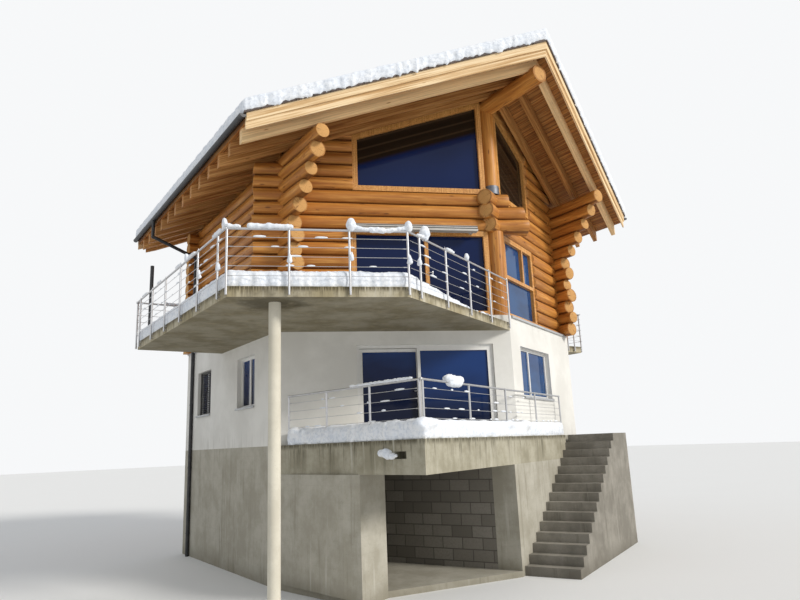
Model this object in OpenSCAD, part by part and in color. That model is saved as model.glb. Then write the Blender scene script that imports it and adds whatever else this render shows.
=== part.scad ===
// Alpine chalet: a concrete garage storey, a white rendered storey with a terrace and a
// cantilevered balcony, and a log storey under a swept gable roof that carries snow.
// X runs across the front, Y runs back along the ridge, Z is up, in millimetres.

/* [Plan] */
// Angle by which each half of the front sweeps back from its point
prow_angle = 24; // [18:1:28]
// Distance of the front's point ahead of the origin
point_forward = 4300; // [4000:50:4600]
// Width of the house left of its point
left_run = 5080; // [4900:10:5300]
// Width of the house right of its point
right_run = 4130; // [4000:10:4300]
// Depth of the house behind its point
house_depth = 8880; // [8500:10:9300]
// Thickness of the masonry walls
wall_t = 350; // [300:10:400]
// Gap between pieces that rest on each other
seat = 0.3; // [0.2:0.1:0.5]

/* [Levels] */
// Thickness of the garage floor
garage_floor_t = 120; // [100:10:150]
// Height of the terrace and the living floor
terrace_z = 2910; // [2850:10:3000]
// Height of the terrace edge
terrace_t = 600; // [500:10:650]
// Thickness of the living floor
floor_t = 250; // [200:10:300]
// Height of the balcony's underside
soffit_z = 5420; // [5350:10:5500]
// Thickness of the balcony and the upper floor
balcony_t = 190; // [160:10:220]
// Height of the top of the white walls
sill_z = 5800; // [5750:10:5900]

/* [Garage] */
// Distance from the wall's point to the left end of the wall beside the garage
pier_reach = 850; // [700:10:1000]
// Overhang of the terrace beyond the garage wall's back line
terrace_step = 200; // [150:10:250]
// Distance along the terrace front from the wall's point to its right end
terrace_right = 2870; // [2700:10:3000]
// Distance along the terrace front from the wall's point to its left corner
terrace_left = 4780; // [4600:10:4900]
// Place of the garage pillar across the front
pillar_x = -4590; // [-4650:10:-4500]
// Place of the garage pillar behind the wall's point
pillar_y = -450; // [-500:10:-350]
// Width of the garage pillar
pillar_w = 850; // [700:10:900]
// Thickness of the garage pillar and the wall behind it
pillar_t = 400; // [350:10:450]
// Inside depth of the garage behind the right front line
garage_depth = 5900; // [5700:50:6100]
// Width of the drain hole in the terrace edge
scupper_w = 300; // [200:10:350]
// Height of the drain hole
scupper_h = 130; // [100:10:160]
// Depth of the drain hole
scupper_deep = 250; // [200:10:300]
// Distance of the drain hole from the terrace's corner
scupper_from = 450; // [400:10:500]
// Depth of the drain hole's floor under the terrace floor
scupper_drop = 330; // [300:10:350]

/* [Stair] */
// Number of steps
steps = 15; // [14:1:16]
// Depth of one step
tread = 270; // [260:5:280]
// Width of the stair
stair_w = 1200; // [1000:10:1300]
// Start of the stair, left of the wall's point
stair_start = 700; // [600:10:800]

/* [Balcony] */
// Reach of the balcony beyond the left wall
balcony_reach = 2170; // [2000:10:2300]
// Reach of the balcony beyond the left front wall
balcony_depth = 3520; // [3400:10:3600]
// Distance from the wall's point to the balcony's back edge
balcony_back = 5840; // [5600:10:6000]
// Diameter of the balcony column
column_d = 220; // [200:10:260]
// Place of the column across the front
column_x = -6310; // [-6500:10:-6100]
// Place of the column behind the wall's point
column_y = -500; // [-600:10:-400]
// Diameter of the dark pole at the balcony's back corner
pole_d = 90; // [70:5:110]
// Height of the pole's top
pole_z = 7500; // [7000:50:7800]
// Distance of the pole from the balcony's left and back edges
pole_inset = [150, 500];
// Width of the side balcony
side_balcony_w = 1070; // [900:10:1200]
// Length of the side balcony
side_balcony_l = 3600; // [3000:50:4000]
// Distance of the side balcony from the house's front corner
side_balcony_from = 400; // [300:10:600]
// Distance of its front railing from the house, clear of the log ends
side_rail_clear = 420; // [380:10:500]

/* [Railings] */
// Height of the railings
rail_h = 1050; // [1000:10:1100]
// Diameter of the posts and the handrails
rail_d = 42; // [38:1:48]
// Diameter of the wires
wire_d = 10; // [8:1:12]
// Number of wires
wires = 5; // [4:1:6]
// Largest distance between posts
post_gap = 1200; // [1100:10:1300]
// Largest distance between the terrace posts
terrace_post_gap = 1900; // [1700:10:2000]
// Distance of the terrace railings from the terrace's edge
rail_inset = 60; // [40:5:100]
// Gap between a balcony slab's face and the posts that are bolted to it
post_off = 30; // [20:5:50]
// Reach of those posts below the slab's top
post_drop = 165; // [140:5:180]
// Width and height of the brackets that hold them
bracket = 30; // [20:5:40]
// Distance of the first side post from a corner that the front railing turns
corner_gap = 350; // [300:10:400]
// Distance of the terrace's left railing from the house
rail_clear = 400; // [300:10:500]

/* [Logs] */
// Height of one course of logs
log_pitch = 334; // [330:1:338]
// Diameter of the logs
log_d = 356; // [350:1:364]
// Distance of the log front's point behind the wall's point
log_set_back = 90; // [60:10:120]
// Centre line of the left log wall
log_left_x = -4800; // [-4850:10:-4750]
// Centre line of the right log wall
log_right_x = 3940; // [3900:10:3950]
// Length of the side walls' log ends ahead of the front walls
log_tail = 420; // [380:10:480]
// Extra length of every other one
tail_step = 130; // [100:10:160]
// Extra length of each upper log end over the one below
corbel_step = 290; // [250:10:300]
// Courses under the roof whose ends step forward
corbels = 5; // [4:1:6]
// Length of the left front wall's log ends beyond the left wall
left_tail = 770; // [600:10:850]
// Length of the right front wall's log ends beyond the right wall
right_tail = 500; // [400:10:600]
// Length of the log ends at the back corners
back_tail = 450; // [350:10:550]
// Courses beside the balcony door
door_courses = 6; // [6:1:7]
// Courses between the balcony door and the gable window
beam_courses = 3; // [3:1:3]
// Reach of the left front logs beyond the point, from the lowest crossing log up
left_cross = [900, 800, 420];
// Reach of the right front logs beyond the point, from the lowest crossing log up
right_cross = [330, 480, 520];
// Diameter of the lower corner post
lower_post_d = 430; // [400:10:450]
// Diameter of the upper corner post
upper_post_d = 370; // [340:10:390]
// Height of the metal shoe under the upper post
shoe_h = 220; // [180:10:260]
// Thickness of the shoe's wall
shoe_t = 8; // [5:1:12]
// Thickness of the boards between the rafters over the side and back walls
frieze_t = 60; // [50:5:80]
// Distance from the back wall's logs up to the rafters
frieze_step = 10; // [5:1:20]

/* [Roof] */
// Pitch of the left half of the roof
pitch_left = 19.7; // [18.5:0.1:20.5]
// Pitch of the right half of the roof
pitch_right = 22.4; // [21:0.1:23]
// Height of the tiles at the ridge
ridge_z = 12210; // [12100:10:12300]
// Width of the left half of the roof
roof_left = 6370; // [6200:10:6500]
// Width of the right half of the roof
roof_right = 6060; // [5900:10:6200]
// Reach of the roof ahead of the wall's point
roof_front = 1970; // [1900:10:2050]
// Reach of the roof behind the back wall
roof_back = 1700; // [1500:10:1900]
// Height of the tile layer
tile_t = 80; // [60:5:100]
// Overhang of the tiles beyond the verge boards
tile_over = 40; // [30:5:60]
// Overhang of the tiles beyond the eaves
tile_side = 60; // [40:5:80]
// Height of the boarded roof body
deck_t = 200; // [180:10:240]
// Height of the rafters
rafter_h = 340; // [300:10:360]
// Width of the rafters
rafter_w = 130; // [100:10:160]
// Distance between rafters along the ridge
rafter_gap = 720; // [680:10:760]
// Distance of the first rafter behind the verge along the ridge
rafter_back = 380; // [340:10:400]
// Distance of the rafters' ends from the eaves
rafter_short = 40; // [30:5:80]
// Thickness of the verge boards
verge_t = 40; // [30:5:50]
// Height of the upper verge boards
verge_h = 190; // [170:5:200]
// Depth of the lower verge boards under the upper ones
verge_drop = 185; // [150:5:220]
// Depth of the snow on the roof
snow_t = 280; // [200:10:320]
// Overhang of the snow beyond the tiles
snow_over = 30; // [10:5:60]
// Diameter of the ridge log
ridge_d = 440; // [400:10:480]
// Depth of the ridge log's centre under the rafters
ridge_drop = 160; // [140:10:200]
// Reach of the ridge log ahead of the wall's point
ridge_front = 1680; // [1600:10:1750]
// Reach of the ridge log behind the back wall
ridge_back = 1300; // [1000:10:1500]
// Outer radius of the gutters
gutter_r = 75; // [65:5:90]
// Thickness of the gutters
gutter_t = 5; // [3:1:8]
// Depth of the gutters' rims under the tiles
gutter_drop = 30; // [25:5:50]
// Diameter of the downpipes
pipe_d = 100; // [80:5:120]
// Depth of the downpipes' upper bends under the rafters' ends
pipe_under = 70; // [65:5:120]
// Fall of the downpipes' slanted piece
pipe_fall = 500; // [400:10:600]
// Thickness of the collars at their bends
pipe_collar = 6; // [4:1:10]
// Distance of the downpipes from the back wall's face
pipe_from = 630; // [600:10:900]

/* [Openings] */
// Height of the door and window heads of the living storey
head_z = 5100; // [5050:10:5150]
// Height of the window sills of the living storey
low_sill_z = 3850; // [3800:10:3900]
// Width of the frames
frame_w = 70; // [60:5:80]
// Depth of the frames
frame_t = 90; // [80:5:100]
// Thickness of the glass
glass_t = 24; // [18:1:30]
// Distance of the windows behind the white walls' faces
window_face = 120; // [80:10:160]
// Distance of the terrace door behind the wall's face
door_face = 60; // [40:5:80]
// Right jamb of the terrace door from the wall's point
door_start = 460; // [400:10:500]
// Width of the terrace door
door_w = 3280; // [3100:10:3300]
// Width of the fixed leaf of the terrace door
fixed_w = 1780; // [1700:10:1850]
// Gap round the sliding leaf
leaf_gap = 8; // [6:1:12]
// Width of the sliding leaf's rollers
roller_w = 80; // [60:5:100]
// Thickness of the window shutter
shutter_t = 40; // [30:5:50]
// Width of the frames in the log walls
casing_w = 130; // [110:5:150]
// Depth of the frames in the log walls
casing_t = 200; // [160:10:220]
// Distance of those frames behind the logs' faces
casing_face = 60; // [40:5:80]
// Width of the bars in the log walls' windows
bar_w = 90; // [70:5:110]
// Left jamb of the balcony door from the point
balcony_door_end = 3760; // [3700:10:3800]
// Middle of the balcony door's meeting stiles
balcony_door_split = 1900; // [1800:10:2000]
// Left jamb of the left gable window from the point
left_gable_end = 3680; // [3600:10:3740]
// Right jamb of the right front window and gable window from the point
right_window_end = 2380; // [2300:10:2450]
// Height of the right front window's transom
transom_z = 6880; // [6800:10:6950]
// Middle of its upper mullion
mullion_x = 1600; // [1500:10:1700]
// Depth of the gable windows' head boards under the rafters
head_board = 100; // [80:10:140]
// Right end of the awning over the balcony door from the point
awning_from = 640; // [600:10:700]
// Length of the awning
awning_l = 3080; // [3000:10:3150]
// Height and depth of the awning's case
awning_h = 140; // [120:5:160]
awning_t = 160; // [140:5:180]
// Depth of the case's underside under the door's head
awning_drop = 90; // [70:5:110]
// Gap between the case and the door frame
awning_gap = 100; // [90:5:130]
// Thickness and height of its front bar
awning_bar = [30, 60];
// Width of the awning's brackets
awning_bracket = 80; // [60:5:100]

/* [Snow] */
// Depth of the snow on the balcony and the terrace
floor_snow_t = 250; // [200:10:300]
// Distance of the balcony's snow from its edges
balcony_snow_in = 20; // [10:5:50]
// Width of the snow along the balcony's edges
balcony_snow_w = 1400; // [1200:50:1600]
// Reach of the snow along the balcony's right edge
balcony_snow_l = 2600; // [2400:50:2800]
// Distance of the terrace's snow from its edge, clear of the railing
terrace_snow_in = 110; // [100:5:150]
// Width of the snow along the terrace's edge
terrace_snow_w = 900; // [700:50:1000]
// Distance of the terrace's snow from the house
snow_clear = 150; // [100:10:300]

/* [Hidden] */

eps = 1;
big = 20000;
c = cos(prow_angle);
s = sin(prow_angle);
t = tan(prow_angle);
left_y = left_run * t;
right_y = right_run * t;
right_len = right_run / c;
terrace_b = terrace_z - terrace_t;
floor_b = terrace_z - floor_t;
wall_b = garage_floor_t + seat;
balcony_z = soffit_z + balcony_t;
log_half = log_d / 2;
// Heights on the ridge line of the deck's underside and of the rafters' underside
deck_z = ridge_z - tile_t - deck_t;
under_z = deck_z - rafter_h;
ridge_log_z = under_z - ridge_drop;
roof_end = house_depth + roof_back;

// Windows of the living storey: both jambs and a middle bar, along each wall from the point's line
left_windows = [[3500, 4650, 4075], [6690, 7840, 7265]];
right_windows = [[2600, 3750, 3175], [5600, 6750, 6175]];
back_windows = [[1500, 3000, 2250], [5900, 7400, 6650]];
front_window = [590, 2690, 1400];
// Openings of the right and back log walls: both jambs, first and last course beside them
right_log_openings = [[3500, 4500, 0, 6], [6300, 7500, 3, 6]];
back_log_openings = [[1500, 2700, 3, 6], [5600, 6800, 3, 6]];

// Corners of the house, drawn in by i, from the front's point round to the left corner
function plan(i) = [[0, i / c], [right_run - i, (right_run - i) * t + i / c],
    [right_run - i, house_depth - i], [i - left_run, house_depth - i],
    [i - left_run, (left_run - i) * t + i / c]];

function wall_quad(k, i) = let (o = plan(0), n = plan(i)) [o[k], o[(k + 1) % 5], n[(k + 1) % 5], n[k]];

// Point at distance a along a front line and b outside it, on side 1 right or -1 left
function front_at(side, a, b) = [side * (a * c + b * s), a * s - b * c];

function cross_of(a, b) = a[0] * b[1] - a[1] * b[0];

// Where the line through p along d meets the line through q along e
function meet(p, d, q, e) = p + d * cross_of(q - p, e) / cross_of(d, e);

// Moves a piece from the wall's point to the origin's frame
module placed() translate([0, -point_forward, 0]) children();

// Frame of a front wall: x away from the point, y inwards
module front(side) mirror([side < 0 ? 1 : 0, 0, 0]) rotate([0, 0, prow_angle]) children();

// Frame of the log front walls, from the log front's point
module log_front(side) translate([0, log_set_back, 0]) front(side) children();

// Frame of a side wall: x backwards, y inwards, on the outer face at distance run
module side_wall(side, run) mirror([side < 0 ? 1 : 0, 0, 0]) translate([run, 0, 0])
    rotate([0, 0, 90]) children();

// Frame of the back wall: x to the left, y inwards
module back_wall() translate([right_run, house_depth, 0]) rotate([0, 0, 180]) children();

module prism(points, z0, z1) translate([0, 0, z0]) linear_extrude(z1 - z0) polygon(points);

module box(x, y, z) translate([x[0], y[0], z[0]]) cube([x[1] - x[0], y[1] - y[0], z[1] - z[0]]);

// Round bar of diameter d from p to q
module rod(p, q, d) let (v = q - p) translate(p)
    rotate([0, acos(v[2] / norm(v)), atan2(v[1], v[0])]) cylinder(h = norm(v), d = d, $fn = 24);

// Lights of a window: openings between its jambs x and heights z, parted by bars at the given middles
function lights(x, z, w, bar, middles = []) =
    let (e = concat([x[0] + w - bar / 2], middles, [x[1] - w + bar / 2]))
    [for (i = [0:len(e) - 2]) [e[i] + bar / 2, e[i + 1] - bar / 2, z[0] + w, z[1] - w]];

// Frame between x and z with openings at its lights
module frame_of(x, y, z, panes) difference() {
    box(x, y, z);
    for (p = panes) box([p[0], p[1]], [y[0] - eps, y[1] + eps], [p[2], p[3]]);
}

module panes_of(panes, y) for (p = panes)
    box([p[0], p[1]], [(y[0] + y[1] - glass_t) / 2, (y[0] + y[1] + glass_t) / 2], [p[2], p[3]]);

module garage_floor() color("gray") placed() prism([[pillar_x, pillar_y], pillar_end, pier_end,
    terrace_foot, front_at(1, terrace_right, 0), [right_run, right_y], [right_run, house_depth],
    [-left_run, house_depth], [-left_run, left_y]], 0, garage_floor_t);

pillar_end = [pillar_x + pillar_w * c, pillar_y + pillar_w * s];
// Back corner of the garage pillar
pillar_back = [pillar_x, pillar_y] + (pillar_t + seat) * [-s, c];
pier_end = front_at(1, -pier_reach, terrace_step);
terrace_foot = front_at(1, terrace_right, terrace_step);
terrace_corner = front_at(1, -terrace_left, terrace_step);
terrace_left_turn = atan2(left_y - terrace_corner[1], -left_run - terrace_corner[0]);

// Keeps what lies under the terrace and the living floor
module under_slabs() intersection() {
    children();
    union() {
        prism([[-big, -big], [big, -big], [big, big], [-big, big]], 0, terrace_b - seat);
        prism(plan(0), 0, floor_b - seat);
    }
}

module garage_wall_left() color("darkgray") placed() under_slabs() prism([pillar_back,
    [-left_run, left_y], plan(wall_t)[4], pillar_back + wall_t * [1, t]], wall_b, floor_b);

module garage_pillar() color("lightgray") placed() translate([pillar_x, pillar_y, wall_b])
    rotate([0, 0, prow_angle]) cube([pillar_w, pillar_t, terrace_b - seat - wall_b]);

module garage_wall_right() color("gray") placed() under_slabs() front(1)
    box([-pier_reach, wall_t - pier_reach], [wall_t, garage_depth], [wall_b, floor_b]);

module garage_wall_back() color("gray") placed() under_slabs() intersection() {
    front(1) box([-big, wall_t - pier_reach], [garage_depth + seat, garage_depth + wall_t],
        [wall_b, floor_b]);
    prism(plan(wall_t), 0, big);
}

module cellar_wall_front() color("lightgray") placed() under_slabs() {
    front(1) box([-pier_reach, terrace_right], [-terrace_step, wall_t - seat], [wall_b, floor_b]);
    intersection() {
        front(1) box([terrace_right, big], [0, wall_t], [wall_b, floor_b]);
        prism(wall_quad(0, wall_t), 0, big);
    }
}

module cellar_wall_left() color("lightgray") placed() prism(wall_quad(3, wall_t), wall_b, floor_b - seat);

module cellar_wall_right() color("lightgray") placed() prism(wall_quad(1, wall_t), wall_b, floor_b - seat);

module cellar_wall_back() color("lightgray") placed() prism(wall_quad(2, wall_t), wall_b, floor_b - seat);

module terrace_slab() color("lightgray") placed() difference() {
    prism([[-left_run, left_y], terrace_corner, terrace_foot, front_at(1, terrace_right, 0), [0, 0]],
        terrace_b, terrace_z);
    translate([terrace_corner[0], terrace_corner[1], terrace_z - scupper_drop])
        rotate([0, 0, terrace_left_turn])
            box([scupper_from, scupper_from + scupper_w], [-scupper_deep, scupper_deep], [0, scupper_h]);
}

module living_floor() color("lightgray") placed() prism(plan(0), floor_b, terrace_z);

module living_wall(k) prism(wall_quad(k, wall_t), terrace_z, sill_z);

module window_holes(windows) for (w = windows)
    box([w[0], w[1]], [-wall_t, wall_t + eps], [low_sill_z, head_z]);

module living_wall_left() color("white") placed() difference() {
    living_wall(3);
    side_wall(-1, left_run) window_holes(left_windows);
}

module living_wall_right() color("white") placed() difference() {
    living_wall(1);
    side_wall(1, right_run) window_holes(right_windows);
}

module living_wall_back() color("white") placed() difference() {
    living_wall(2);
    back_wall() window_holes(back_windows);
}

module living_wall_front_right() color("white") placed() difference() {
    living_wall(0);
    front(1) window_holes([front_window]);
}

module front_left_part(a0, a1, z0, z1) intersection() {
    living_wall(4);
    front(-1) box([a0, a1], [-big, big], [z0, z1]);
}

module living_wall_front_corner() color("white") placed()
    front_left_part(door_start + door_w, big, terrace_z, sill_z);

module living_wall_front_point() color("white") placed()
    front_left_part(-big, door_start, terrace_z, sill_z);

module terrace_door_lintel() color("white") placed()
    front_left_part(door_start, door_start + door_w, head_z, sill_z);

// The terrace door has an outer track for its fixed leaf and an inner one for its sliding leaf
track = frame_t + leaf_gap;
door_sill_z = terrace_z + frame_w / 2;
door_top_z = head_z - frame_w;
door_x = [door_start + frame_w, door_start + door_w - frame_w];

module terrace_door_frame() color("whitesmoke") placed() front(-1) difference() {
    box([door_start + seat, door_start + door_w - seat], [door_face, door_face + 2 * track],
        [terrace_z + seat, head_z - seat]);
    box(door_x, [door_face - eps, door_face + 2 * track + eps], [door_sill_z, door_top_z]);
}

fixed_x = [door_x[0] + seat, door_x[0] + fixed_w];
fixed_z = [door_sill_z + seat, door_top_z - seat];
fixed_lights = lights(fixed_x, fixed_z, frame_w, 0);
fixed_y = [door_face, door_face + frame_t];

module terrace_door_fixed_leaf() color("whitesmoke") placed() front(-1) {
    frame_of(fixed_x, fixed_y, fixed_z, fixed_lights);
    panes_of(fixed_lights, fixed_y);
}

sliding_x = [door_x[0] + fixed_w - frame_w + leaf_gap, door_x[1] - leaf_gap];
sliding_z = [door_sill_z + leaf_gap, door_top_z - leaf_gap];
sliding_lights = lights(sliding_x, sliding_z, frame_w, 0);
sliding_y = [door_face + track, door_face + track + frame_t];

// The sliding leaf runs on two rollers that stand just clear of the frame's sill
module terrace_door_sliding_leaf() color("whitesmoke") placed() front(-1) {
    frame_of(sliding_x, sliding_y, sliding_z, sliding_lights);
    for (x = [sliding_x[0] + 2 * roller_w, sliding_x[1] - 3 * roller_w])
        box([x, x + roller_w], [sliding_y[0] + frame_t / 3, sliding_y[1] - frame_t / 3],
            [door_sill_z + seat, sliding_z[0] + eps]);
}

module terrace_door_sliding_glass() color("lightblue") placed() front(-1)
    panes_of(sliding_lights, sliding_y);

window_y = [window_face, window_face + frame_t];

module living_window(w, glass) let (parts = lights([w[0] + seat, w[1] - seat],
    [low_sill_z + seat, head_z - seat], frame_w, frame_w, [w[2]]))
    if (glass) panes_of(parts, window_y);
    else frame_of([w[0] + seat, w[1] - seat], window_y, [low_sill_z + seat, head_z - seat], parts);

module living_windows(glass) {
    side_wall(-1, left_run) for (w = left_windows) living_window(w, glass);
    side_wall(1, right_run) for (w = right_windows) living_window(w, glass);
    back_wall() for (w = back_windows) living_window(w, glass);
    front(1) living_window(front_window, glass);
}

module living_window_frames() color("whitesmoke") placed() living_windows(false);

module living_window_glass() color("lightblue") placed() living_windows(true);

module window_shutter() color("dimgray") placed() side_wall(-1, left_run)
    box([left_windows[1][0] + seat, left_windows[1][1] - seat],
        [window_face - shutter_t - seat, window_face - seat], [low_sill_z + seat, head_z - seat]);

module upper_floor() color("lightgray") placed() prism(plan(wall_t), soffit_z, balcony_z);

balcony_left_x = -left_run - balcony_reach;

// Balcony corners drawn in by i: where its front line meets its left edge and its right edge
function balcony_b1(i) = let (f = front_at(-1, 0, balcony_depth - i), x = balcony_left_x + i)
    [x, f[1] + (f[0] - x) * t];

function balcony_b2(i) = let (f = front_at(-1, 0, balcony_depth - i), k = f[1] + f[0] * t)
    [(k - i / c) / (2 * t), (k + i / c) / 2];

module balcony_slab() color("darkgray") placed() prism([[-left_run, balcony_back],
    [balcony_left_x, balcony_back], balcony_b1(0), balcony_b2(0), [0, 0], [-left_run, left_y]],
    soffit_z, balcony_z);

module balcony_column() color("darkgray") placed() translate([column_x, column_y, 0])
    cylinder(h = soffit_z - seat, d = column_d, $fn = 32);

module pole_at(d) translate([balcony_left_x + pole_inset[0], balcony_back - pole_inset[1], balcony_z])
    cylinder(h = pole_z - balcony_z, d = d, $fn = 24);

module balcony_pole() color("black") placed() pole_at(pole_d);

// Handrail and wires from the origin along x
module rails(len) {
    translate([0, 0, rail_h - rail_d / 2]) rotate([0, 90, 0]) cylinder(h = len, d = rail_d, $fn = 16);
    for (k = [1:wires]) translate([rail_d / 2, 0, rail_h * k / (wires + 1)]) rotate([0, 90, 0])
        cylinder(h = len - rail_d, d = wire_d, $fn = 13);
}

// Places of the posts between the first and the last one, at most gap apart
function post_places(first, last, gap) = let (n = ceil((last - first) / gap))
    [for (i = [0:n]) first + i * (last - first) / n];

// Straight railing along x, whose posts stand on the slab
module railing(len, gap) {
    rails(len);
    for (x = post_places(rail_d / 2, len - rail_d / 2, gap)) translate([x, 0, seat])
        cylinder(h = rail_h - rail_d / 2, d = rail_d, $fn = 16);
}

// Railing outside a slab's face, whose posts reach down the face and are held by brackets
module edge_railing(len, first, last) {
    rails(len);
    for (x = post_places(first + rail_d / 2, len - last - rail_d / 2, post_gap)) {
        translate([x, 0, -post_drop]) cylinder(h = rail_h + post_drop, d = rail_d, $fn = 16);
        for (z = [-bracket, 2 * bracket - post_drop]) translate([x - bracket / 2, 0, z - bracket])
            cube([bracket, rail_out - seat, bracket]);
    }
}

module between(p, q, z) translate([p[0], p[1], z]) rotate([0, 0, atan2(q[1] - p[1], q[0] - p[0])]) children();

// Distance of the balcony railings' middle line outside the slab's face
rail_out = post_off + rail_d / 2;
// Half a handrail that a side railing leaves free at a corner
rail_turn = rail_d / 2 + seat;
rail_b0 = [balcony_left_x - rail_out, balcony_back + rail_out];
rail_b1 = balcony_b1(-rail_out);
rail_b2 = balcony_b2(-rail_out);
// End of the balcony's right railing at the wall's point
rail_b3 = rail_out * [s, -c] - (rail_out + rail_d) * [c, s];
rail_wall = [-left_run - seat, balcony_back + rail_out];

module balcony_railing_left() color("silver") placed()
    between(rail_b0 - [0, rail_turn], rail_b1 + [0, rail_turn], balcony_z)
        edge_railing(rail_b0[1] - rail_b1[1] - 2 * rail_turn, corner_gap, corner_gap);

module balcony_railing_front() color("silver") placed()
    between(rail_b1, rail_b2, balcony_z) edge_railing(norm(rail_b2 - rail_b1), 0, 0);

module balcony_railing_right() color("silver") placed()
    between(rail_b2 + rail_turn * [c, s], rail_b3, balcony_z)
        edge_railing(norm(rail_b3 - rail_b2) - rail_turn, corner_gap, 0);

module balcony_railing_back() color("silver") placed()
    between(rail_wall, rail_b0, balcony_z) edge_railing(rail_wall[0] - rail_b0[0], corner_gap, 0);

side_y = [right_y + side_balcony_from, right_y + side_balcony_from + side_balcony_l];
side_x1 = right_run + side_balcony_w;

module side_balcony_slab() color("darkgray") placed()
    box([right_run, side_x1], side_y, [soffit_z, balcony_z]);

// Middle lines of the side balcony's railings
side_rail_x = side_x1 + rail_out;
side_rail_y = side_y + rail_out * [-1, 1];
side_rail_len = side_balcony_w + rail_out - rail_turn;

module side_balcony_railing() color("silver") placed() {
    between([side_rail_x, side_rail_y[0]], [side_rail_x, side_rail_y[1]], balcony_z)
        edge_railing(side_balcony_l + 2 * rail_out, rail_out, rail_out);
    between([right_run + side_rail_clear, side_rail_y[0]], [side_rail_x, side_rail_y[0]], balcony_z)
        edge_railing(side_rail_len - side_rail_clear, 0, corner_gap);
    between([side_rail_x - rail_turn, side_rail_y[1]], [right_run, side_rail_y[1]], balcony_z)
        edge_railing(side_rail_len - seat, corner_gap, rail_out);
}

// Direction of the terrace's left edge, from the house to its corner, and its inward normal
terrace_run = terrace_corner - [-left_run, left_y];
terrace_dir = terrace_run / norm(terrace_run);
terrace_in = [-terrace_dir[1], terrace_dir[0]];
rail_t0 = [-left_run, left_y] + rail_clear * terrace_dir + rail_inset * terrace_in;
// Corner of the terrace railings, drawn in from the edge
rail_t1 = meet(rail_t0, terrace_dir, front_at(1, 0, terrace_step - rail_inset), [c, s]);
rail_t2 = front_at(1, terrace_right - rail_inset, terrace_step - rail_inset);

// Half a handrail's reach at their sharp corner
sharp_turn = rail_turn / tan(acos(-terrace_dir * [c, s]) / 2);

module terrace_railing_left() color("silver") placed()
    between(rail_t0, rail_t1, terrace_z) railing(norm(rail_t1 - rail_t0) - sharp_turn, terrace_post_gap);

module terrace_railing_right() color("silver") placed()
    between(rail_t1 + sharp_turn * [c, s], rail_t2, terrace_z)
        railing(norm(rail_t2 - rail_t1) - sharp_turn, terrace_post_gap);

riser = terrace_z / steps;

module stair() color("gray") placed() front(1) translate([0, -terrace_step - seat, 0])
    rotate([90, 0, 0]) linear_extrude(stair_w) polygon(concat([[-stair_start, 0]],
        [for (i = [1:steps - 1]) each
            [[-stair_start + (i - 1) * tread, i * riser], [-stair_start + i * tread, i * riser]]],
        [[-stair_start + (steps - 1) * tread, terrace_z], [right_len, terrace_z], [right_len, 0]]));

function slope(side) = tan(side < 0 ? pitch_left : pitch_right);

function roof_w(side) = side < 0 ? roof_left : roof_right;

function log_x(side) = side < 0 ? log_left_x : log_right_x;

// Heights of the logs: the side walls' courses lie half a course above the front and back walls'
function side_z(i) = sill_z + (i + 0.5) * log_pitch;

function front_z(j) = sill_z + j * log_pitch;

log_head_z = front_z(door_courses + 0.5);
gable_sill_z = log_head_z + beam_courses * log_pitch;
beams = [for (j = [1:beam_courses]) door_courses + j];

// Height above the white walls that a log wall may have below a roof plane, at distance x from the ridge
function room_under(z, side, x) = z - x * slope(side) - sill_z;

// Side courses that lie under the rafters
function plate(side) = floor(room_under(under_z, side, abs(log_x(side))) / log_pitch);

// Reach of a side wall's log ends beyond the front wall's face
function tail(side, i) = let (k = i - plate(side) + 1 + corbels)
    log_tail + (k > 0 ? k * corbel_step : (i % 2) * tail_step);

// Everything below a roof plane with ridge height z
module below_roof(z) translate([0, big, 0]) rotate([90, 0, 0]) linear_extrude(2 * big)
    polygon([[0, z], [big, z - big * slope(1)], [big, -big], [-big, -big], [-big, z - big * slope(-1)]]);

// The height that one course takes, flat where it lies on the next
module course_at(z, grow) intersection() {
    children();
    box([-big, big], [-big, big], [max(sill_z + seat, z - log_pitch / 2 - grow), z + log_pitch / 2 + grow]);
}

module side_log(side, i, grow = 0) let (y = log_set_back + abs(log_x(side)) * t - tail(side, i))
    course_at(side_z(i), grow) translate([log_x(side), y, side_z(i)]) rotate([-90, 0, 0])
        cylinder(h = house_depth + back_tail - y, d = log_d + 2 * grow, $fn = 32);

module back_log(j, grow = 0) let (x0 = log_left_x - (j < plate(-1) ? back_tail : 0),
    x1 = log_right_x + (j < plate(1) ? back_tail : 0))
    course_at(front_z(j), grow) translate([x0, house_depth - log_half, front_z(j)])
        rotate([0, 90, 0]) cylinder(h = x1 - x0, d = log_d + 2 * grow, $fn = 32);

// Where the front logs' centre lines cross, along each wall
point_x = log_half * t;

// Start of a front log: at the jamb of the opening beside it, or beyond the point
function front_start(side, j) = front_z(j) > gable_sill_z ? (side < 0 ? left_gable_end : right_window_end)
    : front_z(j) > log_head_z ? point_x - (side < 0 ? left_cross : right_cross)[j - door_courses - 1]
    : side < 0 ? balcony_door_end : right_window_end;

// End of a front log, beyond the side wall where the roof leaves room for its tail
function front_end(side, j) = (abs(log_x(side)) + log_half * s) / c
    + (j < plate(side) ? (side < 0 ? left_tail : right_tail) : 0);

module front_log(side, j, grow = 0) course_at(front_z(j), grow) log_front(side)
    translate([front_start(side, j), log_half, front_z(j)]) rotate([0, 90, 0])
        cylinder(h = front_end(side, j) - front_start(side, j), d = log_d + 2 * grow, $fn = 32);

function front_courses(side) =
    ceil(room_under(deck_z, side, c * (side < 0 ? left_gable_end : right_window_end)) / log_pitch + 0.5);

back_courses = ceil(room_under(under_z, 1, 0) / log_pitch + 0.5);

module ridge_bar(grow = 0) translate([0, -ridge_front, ridge_log_z]) rotate([-90, 0, 0])
    cylinder(h = ridge_front + house_depth + ridge_back, d = ridge_d + 2 * grow, $fn = 32);

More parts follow.
